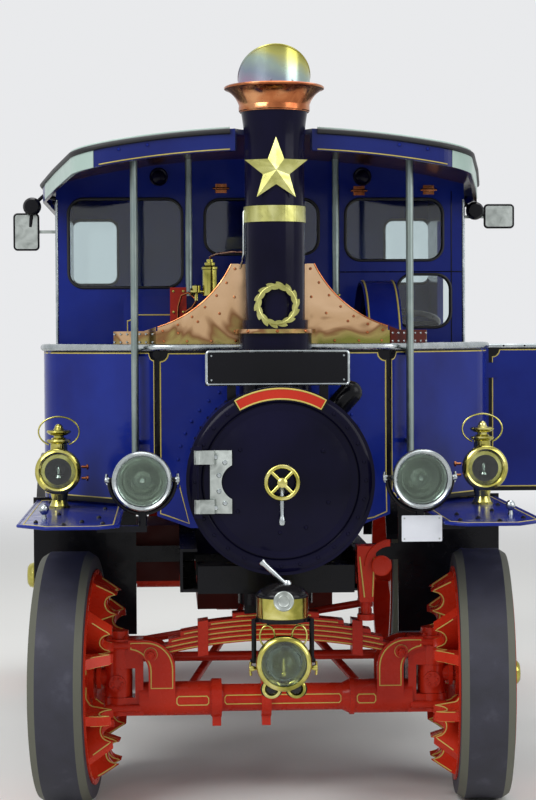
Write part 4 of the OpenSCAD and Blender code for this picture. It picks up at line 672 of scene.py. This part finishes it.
# Number plate: polished border and screws; the ring's plate is red with a yellow border; both stay blank
plate = front_face(-246.0)
border, _ = panel(-238, 238, 1447, 1558, 10, False)
keep(lines([[plate(u, v, -1.0) for u, v in border]], 4.5, closed=True), "number_plate_border", STEEL)
keep(studs([plate(s * 222, v, 0) for s in BOTH for v in (1462, 1543)], 4, 3), "number_plate_screws", STEEL)
low, high = [arc(0, BOILER_Z, r, 119.5, 60.5, 30) for r in (269, 303)]
keep(banded([[[(x, -409.6, z) for x, z in loop] for loop in (low, high)]], 3, False), "ring_plate_face", SIGNAL_RED)
keep(lines([[(x, -410.5, z) for x, z in low + high[::-1]]], 2.8, closed=True), "ring_plate.line", LINE)
white = front_face(-470.5)
border, _ = panel(389, 521, 938, 1023, 4, False)
keep(filled([[white(u, v, 0.4) for u, v in border]], 1.5), "small_plate_face", WHITE)
keep(studs([white(u, v, 1) for u in (398, 512) for v in (947, 1014)], 3, 2), "small_plate_bolts", ZINC)

# Copper sheet: its hollow edge, rivets inside that and along its foot, and the band on the right painted dark red
hollow = arc(518, 2040, 414.7, 205.6, 253.8, 24)
edge = [(119, 1577), (402, 1577)] + hollow[::-1] + [(119, 1861)]
keep(filled([[(s * x, 48.4, z) for x, z in edge] for s in BOTH], 2), "copper_faces", COPPER_SHEET)
keep(lines([[(s * x, APRON_Y, z) for x, z in hollow] for s in BOTH], 3.5), "copper_rolled_edge", COPPER)
spots = arc(518, 2040, 433, 207, 252, 6) + [(130, 1592), (215, 1592), (300, 1592), (380, 1592), (131, 1843),
                                            (134, 1745), (186, 1688), (262, 1660), (330, 1620)]
keep(studs([(s * x, 47.5, z) for s in BOTH for x, z in spots], 5, 4), "copper_rivets", COPPER)
for side, word in SIDES:
    sheet, reach = swept(side), range(0, 61, 12)
    tops = [2040.6 - sqrt(414.7 ** 2 - (116 - u) ** 2) for u in reach]
    keep(banded([[[sheet(u, 1629, 0) for u in reach], [sheet(u, v, 0) for u, v in zip(reach, tops)]]], 2, False),
         "sheet_tail_" + word, DARK_RED if side > 0 else COPPER_SHEET, slot="copper")
band = [4, 50, 100, 150, 200, 222]
keep(banded([[[swept(1)(u, v, 1) for u in band] for v in (1577, 1629)]], 2, False), "right_band", DARK_RED)
spots = []
for side in BOTH:
    for u, v in [(u, v) for u in range(16, 222, 34) for v in (1590, 1618)]:
        here, there = swept(side)(u, v, 1.5), swept(side)(u, v, 2.5)
        spots.append((here, Vector(there) - Vector(here)))
keep(studs(spots, 4.5, 3.5, None), "band_rivets", STEEL)

# ---------------------------------------------------------------- lamps

for s, word in SIDES:
    # Headlamp: bezel, silvered reflector, burner and the wing nuts on its bracket
    x, z = s * 452, 1144
    lamp = (x, -510, z)
    keep(spun([(82, 3), (86, 8), (91, 10), (95, 6), (97, 0), (97, -12), (92, -13), (92, 0), (82, 3)], lamp, 56),
         "headlamp_bezel_" + word, STEEL)
    keep(spun([(80, -8), (71, -15), (56, -45), (44, -68), (28, -84), (0, -88)], lamp, 48),
         "headlamp_reflector_" + word, SILVER)
    keep(spun([(0, -30), (7, -32), (12, -40), (12, -58), (22, -64), (30, -78), (30, -84)], lamp, 32),
         "headlamp_burner_" + word, SILVER)
    ears = []
    for k in BOTH:
        ears.append(spun([(0, 14), (9, 12), (11, 4), (8, -4), (5, -8)], (x + k * 108, -445, z), 20, (k, 0, 0)))
        ears.append(lines([[(x + k * 112, -445, z - 14), (x + k * 118, -445, z), (x + k * 114, -445, z + 20)]], 4.5))
    keep(joined(ears), "headlamp_wing_nuts_" + word, STEEL)
    # Oil side lamp: rims, sooted inside, burner, wire bail, hoods and knobs
    x = s * 755
    lamp = (x, 120, 1137)
    keep(spun([(60, 3), (62, 10), (68, 13), (76, 10), (81, 3), (81, -14), (76, -16), (76, -2), (60, 3)], lamp, 56),
         "side_lamp_rim_" + word, BRASS)
    keep(spun([(61, -1), (56, -5), (48, -5), (47, 0), (61, -1)], lamp, 48), "side_lamp_inner_rim_" + word, BRASS)
    keep(spun([(64, -8), (60, -16), (46, -50), (36, -80), (20, -98), (0, -100)], lamp, 40), "side_lamp_inside_" + word,
         SOOT)
    keep(spun([(0, 26), (5, 24), (9, 14), (9, -2), (14, -6), (16, -16), (0, -18)], (x, 160, 1128), 20, UP),
         "side_lamp_burner_" + word, SILVER)
    bail = [(x + 72 * cos(a), 190, 1274 + 53 * sin(a)) for a in sweep(-60, 240, 40)]
    keep(lines([bail], 3, 3), "side_lamp_bail_" + word, BRASS)
    keep(spun_at([(24, 0), (38, 6), (44, 12), (40, 18), (24, 20)], [(x, 190, z) for z in (1229, 1261)], 32, UP),
         "side_lamp_hoods_" + word, BRASS)
    keep(spun_at([(0, 0), (5, 0), (5, 16), (10, 18), (10, 24), (0, 27)], [(x - s * 80, 165, z) for z in (1110, 1150)],
                 16, (-s, 0, 0)), "side_lamp_knobs_" + word, COPPER)

# Middle lamp between the front wheels
lamp = (0, -540, 555)
keep(spun([(72, 3), (74, 10), (80, 12), (87, 8), (90, 0), (90, -16), (84, -17), (84, -2), (72, 3)], lamp, 56),
     "middle_lamp_rim", BRASS)
keep(spun([(76, -6), (68, -14), (56, -34), (40, -52), (22, -62), (0, -64)], lamp, 48), "middle_lamp_reflector", SILVER)
keep(spun([(52, -8), (54, -5), (57, -8), (54, -11), (52, -8)], lamp, 40), "middle_lamp_ring", STEEL)
keep(spun([(0, 24), (4, 22), (6, 6), (6, -20), (10, -24), (11, -34), (0, -36)], (0, -505, 545), 16, UP),
     "middle_lamp_burner", BRASS)
keep(lines([[(s * (52 + 24 * cos(a)), -505, 640 + 34 * sin(a)) for a in sweep(-70, 220, 24)] for s in BOTH], 3.2, 3),
     "middle_lamp_bails", BRASS)
ears = [spun([(0, 20), (8, 18), (10, 8), (6, 0), (6, -14)], (s * 92, -500, 535), 18, (s, 0, 0)) for s in BOTH]
ears.append(lines([[(s * 106, -500, 512), (s * 108, -500, 535), (s * 106, -500, 556)] for s in BOTH], 4))
keep(joined(ears), "middle_lamp_wing_nuts", BRASS)

# Two small lenses below it on a plate shaped like two discs
bulge = [(x, 30 * sqrt(max(0.0, 1 - ((abs(x) - 40) / 36) ** 2))) for x in range(-76, 77, 4)]
keep(banded([[[(x, -520, 470 + up * rise) for x, rise in bulge] for up in (1, -1)]], 4, False), "small_lens_plate",
     BLACK)
lenses = [(x, -525, 472) for x in (-40, 40)]
keep(spun_at([(20, 0), (22, 5), (27, 7), (31, 4), (31, -5), (20, -4), (20, 0)], lenses, 32), "small_lens_rims", BRASS)
keep(spun_at([(21, -2), (17, 2), (10, 5), (0, 6)], lenses, 28), "small_lenses", SMOKED_GLASS)
keep(lines([[(s * 20, -505, 480), (s * 40, -512, 474)] for s in BOTH], 5), "small_lens_stems", BLACK)

# Drum: black domed lid, bare badge and the polished lever above it
keep(spun([(86.5, 66), (87, 72), (82, 80), (66, 94), (40, 105), (16, 109.5), (0, 110)], (0, -450, 695), 56, UP),
     "drum_lid", BLACK)
keep(spun([(33, -4), (33, 2), (30, 4), (27, 2), (20, 2), (18, 4), (15, 2), (0, 3)], (0, -535, 756), 36), "bare_badge",
     ZINC)
keep(joined([spun([(0, 0), (11, 2), (12, 8), (9, 16), (8.5, 60), (7.5, 96), (7, 118)], (-70, -462, 880), 20,
                  (0.72, 0.03, -0.69)),
             spun([(0, 0), (14, 0), (14, 10), (9, 18), (0, 20)], (16, -458, 797), 20, UP)]), "drum_lever", STEEL)

# ---------------------------------------------------------------- front gear

# Lines on the spring brackets' cheeks and pins, the spring's leaves and the axle beam
cheek = [(358, 398), (358, 463)] + arc(450, 463, 92, 180, 90, 10) + [(501, 555), (501, 535)]
cheek += arc(510, 457, 78, 97, 180, 8) + [(432, 398)]
keep(lines([[(s * x, -58.2, z) for x, z in cheek] for s in BOTH], 3, closed=True), "cheek.line", LINE)
keep(lines([[(s * (433 + 22 * cos(a)), -58.2, 516 + 22 * sin(a)) for a in turns(20)] for s in BOTH], 2.6, closed=True),
     "pin.line", LINE)
paths = []
for i, half in enumerate([412, 388, 360, 318, 224, 138]):
    r = SPRING_R + 17 * i + 5
    paths.append([(x, -37, 556 - SPRING_R + sqrt(r * r - x * x)) for x in range(-half, half + 1, 20)])
keep(lines(paths, 2.4), "leaf.line", LINE)
paths = []
for x0, x1, r in ((-338, -240, 59), (-172, 218, 47), (286, 338, 59)):
    y = 1.2 - sqrt(r * r - 15 * 15)
    paths.append([(x0, y, 338), (x1, y, 338), (x1 + 6, y - 1.5, 345), (x1 + 6, y - 1.5, 361), (x1, y, 368),
                  (x0, y, 368), (x0 - 6, y - 1.5, 361), (x0 - 6, y - 1.5, 345)])
keep(lines(paths, 2.4, closed=True), "beam.line", LINE)

# Nuts on the spring pins, the axle's forks and the knuckles
keep(nuts([(s * 433, -72, 516) for s in BOTH], 15, 11), "spring_pin_nuts", VERMILION)
heads = [((s * KINGPIN + 40 * cos(a), 40 * sin(a), 566), UP) for s in BOTH for a in turns(4, 45)]
heads += [((s * 589, -49, z), (s, 0, 0)) for s in BOTH for z in (328, 546)]
keep(nuts(heads, 9, 7, None), "fork_bolts", VERMILION)
for s, word in SIDES:
    spots = [steered(s) @ Vector((s * 18 * cos(a), -56, 415 + 18 * sin(a))) for a in turns(6)]
    keep(nuts(spots, 6, 4, steered(s).to_3x3() @ Vector(FRONT)), "knuckle_cap_bolts_" + word, VERMILION,
         "knuckle_" + word)
keep(joined([spun([(31, -3), (35, 0), (35, 5), (30, 8), (0, 8)], (360, -111, 820), 32),
             lines([[(x, -101, z) for x, z in arc(392, 818, 88, 180, 92, 12)]], 3)]), "steering_boss_cap", VERMILION)
keep(lines([[(302, -101, 710), (286, -101, 850)], [(330, -101, 712), (336, -101, 846)]], 2.4), "steering_post.line",
     LINE)


def crest(r):
    """Depth of the front spokes' inner edge at a distance from the hub's middle."""
    if 225 < r < 299:
        return -172 + sqrt(max(0.0, 37 ** 2 - (r - 262) ** 2))
    knots = [(60, -70), (150, -78), (196, -100), (222, -172), (302, -172), (354, -94), (370, -94)]
    for (r0, d0), (r1, d1) in zip(knots, knots[1:]):
        if r <= r1:
            return d0 + (d1 - d0) * (r - r0) / (r1 - r0)
    return -94


def fork_edges(centre_x, bend_r, half, r0, r1, depth, count):
    """Lines along both edges of every forked spoke, in the wheel's own frame: (outward, rear, up)."""
    paths = []
    for turn in turns(count):
        for s, flank in [(s, flank) for s in BOTH for flank in (bend_r, bend_r + half + 3)]:
            points = []
            for x in range(40, 420, 6):
                drop = flank * flank - (x - centre_x) ** 2
                y = s * (bend_r + half - sqrt(max(0.0, drop)))
                if drop > 0 and r0 < hypot(x, y) < r1 and s * y > -3:
                    points.append((depth(hypot(x, y)), x * sin(turn) + y * cos(turn), y * sin(turn) - x * cos(turn)))
            if len(points) > 2:
                paths.append(points)
    return paths


# Wheels: lines along the spokes' crests and forks, brass hub caps and nuts
for s, word in SIDES:
    around, wheel = steered(s), "front_wheel_" + word
    axle = around.to_3x3() @ Vector((s, 0, 0))
    paths = []
    for depth in (lambda r: crest(r) + 7, lambda r: 32.5):
        for points in fork_edges(150, 260, 26, 100, 346, depth, 6):
            paths.append([around @ Vector((s * (STUB + o), y, FRONT_HUB_Z + z)) for o, y, z in points])
    keep(lines(paths, 2.6, 1), "front_wheel.line_" + word, LINE, wheel)
    keep(spun([(52, -8), (52, 2), (44, 6), (40, 20), (30, 28), (0, 31)],
              around @ Vector((s * (STUB + 111), 0, FRONT_HUB_Z)), 40, axle), "front_hub_cap_" + word, BRASS, wheel)
    spots = [around @ Vector((s * (STUB + 92), 64 * cos(a), FRONT_HUB_Z + 64 * sin(a))) for a in turns(6, 30)]
    keep(nuts(spots, 8, 8, axle), "front_hub_nuts_" + word, VERMILION, wheel)
    wheel, axle = "rear_wheel_" + word, (s, 0, 0)
    paths = [[(s * (785 + o), REAR_HUB_Y + y, REAR_HUB_Z + z) for o, y, z in points]
             for points in fork_edges(190, 300, 26, 130, 404, lambda r: 78.6, 8)]
    keep(lines(paths, 2.8, 1), "rear_wheel.line_" + word, LINE, wheel)
    keep(spun([(72, -6), (72, 3), (60, 8), (54, 26), (40, 36), (0, 39)], (s * 989, REAR_HUB_Y, REAR_HUB_Z), 40, axle),
         "rear_hub_cap_" + word, BRASS, wheel)
    spots = [(s * 965, REAR_HUB_Y + 92 * cos(a), REAR_HUB_Z + 92 * sin(a)) for a in turns(8)]
    keep(nuts(spots, 10, 9, axle), "rear_hub_nuts_" + word, VERMILION, wheel)

# ---------------------------------------------------------------- roof and cab


def roof_outline(grow):
    """The roof's edge from the front middle round the right corner to the rear, grown a little."""
    r = 140 + grow
    points = [(150 + 41 * i, -60 - grow) for i in range(10)]
    points += arc(560, 80, r, -90, -10.8, 10)
    points += [(638 + r * 0.982 + 72 * i / 5, 474 + 88 * i) for i in range(5)]
    return points + [(850 + grow, 935 + 145 * i) for i in range(8)]


# A dark bar below the pale roof edge: the gutter, made black as painted shadow under the canvas's edge
edges = [on_roof(s, roof_outline(2), 9) for s in BOTH] + [on_roof(1, [(x, 1952) for x in range(-840, 841, 60)], 7)]
keep(lines(edges, 10, 3), "gutter_and_painted_shadow_bar", RUBBER_AND_PAINTED_SHADOW)
keep(lines([on_roof(s, roof_outline(-4), -1) for s in BOTH], 6, 3), "pale_roof_edge", PALE)
corner = [(x, y) for x, y in roof_outline(1) if x > 600 and y < 830]
keep(banded([[on_roof(s, corner, drop) for drop in (17, 76)] for s in BOTH], 4, False), "pale_corner_boards", PALE)
board = [(x, y - 0.6) for x, y in roof_outline(1) if x <= 600]
keep(lines([on_roof(s, board, 70) for s in BOTH], 2), "roof_board.line", LINE)
keep(studs([place for s in BOTH for place in on_roof(s, [(432, -61), (530, -61)], 30)], 6, 5), "roof_board_bolts",
     BLUE)

# Window rubbers, corner angles, hinges and round fittings on the cab's front
windows = [((-753, -309, 1802, 2148), 60, 934), ((-220, 226, 1930, 2146), 60, 934), ((332, 717, 1905, 2146), 60, 934),
           ((536, 748, 1641, 1850), 60, 934), ((-785, -583, 1838, 2118), 40, 1849), ((583, 785, 1838, 2118), 40, 1849)]
rubbers = [[(u, y + into, v) for u, v in panel(*window, r, False)[0]] for window, r, y in windows for into in (0, 30)]
keep(lines(rubbers, 5.5, 3, True), "window_rubbers", RUBBER_AND_PAINTED_SHADOW)
keep(lines([[(s * 798, 936, 1578), (s * 798, 936, roof_height(798) - 80)] for s in BOTH], 6, 3), "cab_corner_angles",
     STEEL)
hinges = []
for x, z in ((386, 2178), (660, 2181), (-156, 2188)):
    hinges.append(lines([[(x - 32, 931, z), (x + 32, 931, z)]], 5, 3))
    hinges.append(filled([[(x + u, 933.4, z + v) for u, v in ((-22, -18), (22, -18), (22, 18), (-22, 18))]], 2))
keep(joined(hinges), "window_hinges", COPPER)
fittings = [(x, 935, 2233) for x in (-399, 399)]
keep(spun_at([(24, 0), (26, 6), (32, 9), (36, 5), (36, 0)], fittings, 32), "roof_fitting_rims", NAVY)
keep(spun_at([(30, 0), (26, 6), (14, 12), (0, 14)], fittings, 28), "roof_fitting_domes", NAVY)
seams = [((306, 1860), (796, 1860)), ((750, 1580), (750, 2176)), ((306, 1580), (306, 2200))]
keep(lines([[(x, 934.5, z) for x, z in seam] for seam in seams], 2), "cab_front_seams", BLACK)

# Mirrors: horn-shaped backs on bent stems, and their rims
stems = [[(-800, 950, 2150), (-850, 945, 2160), (-892, 940, 2120), (-900, 945, 2040)],
         [(800, 950, 2130), (842, 945, 2100), (880, 945, 2085)]]
keep(joined([spun_at([(0, 0), (26, 2), (34, 12), (36, 26), (30, 44), (16, 56), (16, 70), (0, 70)],
                     [(-892, 900, 2118), (842, 900, 2098)], 28, REAR), lines(stems, 8, 3)]), "mirror_horns", BLACK)
mirrors = [(-962, -870, 1952, 2089), (884, 996, 2034, 2121)]
keep(lines([[(u, 944, v) for u, v in panel(*mirror, 12, False)[0]] for mirror in mirrors], 5, 3, True), "mirror_rims",
     BLACK)

# Lined panels on the cab's sides and rear and on the bunker
for s, word in SIDES:
    lined("cab_side_panel_" + word, side_face(s, BODY_X), [panel(1562, 1836, 1000, 1548, 28, margin=(12, 12, 14, 22))])
    lined("cab_upper_panel_" + word, side_face(s, 800), [panel(1570, 1830, 1600, 2180, 28)], bordered=False)
    lined("bunker_panel_" + word, side_face(s, BUNKER_X),
          [panel(1925, 2400, 935, 1440, 32), panel(2440, 2950, 935, 1440, 32)], bordered=False)
lined("cab_rear_panel", rear_face(1878), [panel(-540, 540, 1610, 2190, 36)], bordered=False)
lined("bunker_rear_panel", rear_face(BUNKER_REAR_Y), [panel(-530, 530, 935, 1440, 36)], bordered=False)

# Bunker: beading round its top, rivet rows and the tank's filler lid
rail = [(-BUNKER_X, 1878), (-BUNKER_X, 2984), (-584, 3004), (-560, BUNKER_REAR_Y)]
rail += [(-x, y) for x, y in rail[::-1]]
keep(lines([[(x, y, BUNKER_TOP) for x, y in rail]], 11, 3), "bunker_beading", STEEL)
spots = [((s * BUNKER_X, y, z), (s, 0, 0)) for s in BOTH for y in range(1910, 2981, 62) for z in (914, 1460)]
spots += [((x, BUNKER_REAR_Y, z), REAR) for x in range(-540, 541, 60) for z in (914, 1460)]
keep(studs(spots, 6, 4.5, None), "bunker_rivets", BLUE)
keep(joined([spun([(150, -1), (150, 14), (142, 20), (60, 26), (0, 28)], (0, 2700, BUNKER_TOP), 48, UP),
             lines([[(-50, 2700, 1506), (-50, 2700, 1536), (50, 2700, 1536), (50, 2700, 1506)]], 8, 3)]),
     "tank_filler_lid", BLACK)
knob = [(5, 0), (5, 24), (17, 27), (19, 38), (10, 46), (0, 47)]
keep(spun(knob, (-BODY_X, 1500, 1420), 20, (-1, 0, 0)), "door_left_knob", BRASS, "door_left")
keep(spun(knob, (1367, DOOR_Y, 1420), 20), "door_right_knob", BRASS, "door_right")

# ---------------------------------------------------------------- engine

# Lines on the side box and the flywheel's guard
keep(lines([[(u, 521.6, v) for u, v in panel(-516, -262, 1598, 1690, 22)[0]]], 3.2, closed=True), "side_box.line",
     LINE)
keep(lines([[(x, 619 - 316.05 * cos(a), 1500 + 316 * sin(a)) for a in sweep(14, 161, 21)] for x in (367, 477)], 3.6),
     "guard.line", LINE)

# Brass lubricator on a stem, with its copper pipe to the chimney, and the red valve box with copper pipes
keep(joined([spun([(0, -66), (9, -66), (9, -4), (14, 0), (27, 2), (27, 96), (30, 98), (30, 106), (20, 112), (20, 122),
                   (12, 124), (12, 134), (0, 135)], (-212, 400, 1756), 28, UP),
             spun([(0, 0), (7, 0), (7, 30), (13, 32), (13, 44), (0, 46)], (-239, 400, 1772), 16, (-1, 0, 0)),
             spun([(0, 0), (7, 0), (7, 26), (16, 30), (16, 54), (6, 58), (0, 58)], (-262, 400, 1740), 16, UP)]),
     "lubricator", BRASS)
keep(lines([[(-212, 400, 1886), (-210, 380, 1900), (-190, 300, 1906), (-140, 60, 1904), (-96, -80, 1896)],
            [(-262, 400, 1745), (-290, 420, 1770), (-316, 440, 1760), (-328, 452, 1720), (-330, 460, 1664)],
            [(-300, 440, 1700), (-276, 420, 1716), (-262, 400, 1738)]], 4.5, 3), "copper_pipes", COPPER)
box = [(-356, 1636), (-300, 1636), (-300, 1788), (-356, 1788)]
keep(banded([[[(x, y, z) for x, z in box] for y in (462, 522)]], 6), "red_valve_box", SIGNAL_RED)
keep(filled([[(x, 464, z) for x, z in box]], 5), "red_valve_box_front", SIGNAL_RED)
keep(nuts([(x, 461, z) for x in (-346, -310) for z in (1648, 1700, 1776)], 5, 4), "red_valve_box_nuts", BRASS)

# Cylinder covers, boiler bands and motion cover
keep(nuts([(x + 66 * cos(a), 182, 1600 + 66 * sin(a)) for x in (-92, 92) for a in turns(6, 30)], 8, 8),
     "cylinder_cover_nuts", STEEL)
keep(spun_at([(271, -16), (273, -15), (273, 15), (271, 16)], [(0, y, BOILER_Z) for y in (186, 460, 730)], 72, REAR),
     "boiler_bands", BRASS)
spots = [(x, y) for x in (-220, 270) for y in range(510, 890, 60)]
spots += [(x, y) for x in range(-150, 201, 70) for y in (500, 880)]
keep(studs([(x, y, 1760) for x, y in spots], 6, 5, UP), "motion_cover_studs", BRASS)
keep(lines([[(x, 482, z) for x, z in ((-240, 1590), (-240, 1720), (290, 1720), (290, 1590))]], 3.2),
     "motion_cover.line", LINE)

# ---------------------------------------------------------------- camera, floor and lamps


def make_camera():
    """Puts the camera where the photograph was taken from."""
    data = bpy.data.cameras.new("camera")
    data.sensor_fit = "VERTICAL"
    data.sensor_height = 36.0
    data.lens = LENS_MM
    camera = bpy.data.objects.new("camera", data)
    bpy.context.scene.collection.objects.link(camera)
    turn = Matrix.Rotation(radians(-CAMERA_YAW), 4, "Z")
    tip = Matrix.Rotation(radians(90 - CAMERA_PITCH), 4, "X")
    roll = Matrix.Rotation(radians(-CAMERA_ROLL), 4, "Z")
    camera.matrix_world = Matrix.Translation(CAMERA_PLACE) @ turn @ tip @ roll
    bpy.context.scene.camera = camera


def make_stage():
    """A plain pale floor, a pale world and soft studio lamps."""
    middle = (0.0, -1.6, cad_box[0][2])
    bpy.ops.object.select_all(action="DESELECT")
    bpy.ops.mesh.primitive_circle_add(vertices=96, radius=14, fill_type="NGON", location=middle)
    floor = bpy.context.object
    bpy.ops.object.transform_apply(location=True, rotation=True, scale=True)
    floor.name = "floor"
    # Pale matt paper that fades out far from the machine
    made, spot, _ = start("pale_floor")
    away = add(made, "VectorMath", {0: spot, 1: middle}, operation="DISTANCE").outputs["Value"]
    fade = add(made, "MapRange", {"Value": away, "From Min": 3.5, "From Max": 13.0}, interpolation_type="SMOOTHSTEP")
    paper = add(made, "BsdfDiffuse", {"Color": linear("#e9e9e6")})
    both = add(made, "MixShader", {0: fade, 1: paper, 2: add(made, "BsdfTransparent")})
    add(made, "OutputMaterial", {"Surface": both})
    floor.data.materials.append(made)
    # The world is brighter to the camera, and in metal and glass, than it lights the machine
    world = bpy.data.worlds.new("studio")
    world.use_nodes = True
    bpy.context.scene.world = world
    world.node_tree.nodes.clear()
    path = add(world, "LightPath").outputs
    seen = add(world, "Math", {0: path["Is Camera Ray"], 1: path["Is Glossy Ray"]}, operation="MAXIMUM")
    seen = add(world, "Math", {0: seen, 1: path["Is Transmission Ray"]}, operation="MAXIMUM")
    level = add(world, "MapRange", {"Value": seen, "To Min": 0.45, "To Max": 0.9})
    sky = add(world, "Background", {"Color": linear("#f4f5f7"), "Strength": level})
    add(world, "OutputWorld", {"Surface": sky})
    lamps = [("key", (-5.0, -8.0, 6.5), 5.0, 520), ("fill", (6.0, -7.0, 4.0), 5.0, 220),
             ("top", (0.5, -1.0, 7.0), 6.0, 260)]
    for name, place, size, power in lamps:
        data = bpy.data.lights.new(name, "AREA")
        data.size = size
        data.energy = power
        lamp = bpy.data.objects.new(name, data)
        bpy.context.scene.collection.objects.link(lamp)
        aim = Vector((0.0, -2.6, 0.8)) - Vector(place)
        lamp.matrix_world = Matrix.Translation(place) @ aim.to_track_quat("-Z", "Y").to_matrix().to_4x4()


make_camera()
make_stage()
bpy.context.scene.view_settings.view_transform = "Standard"
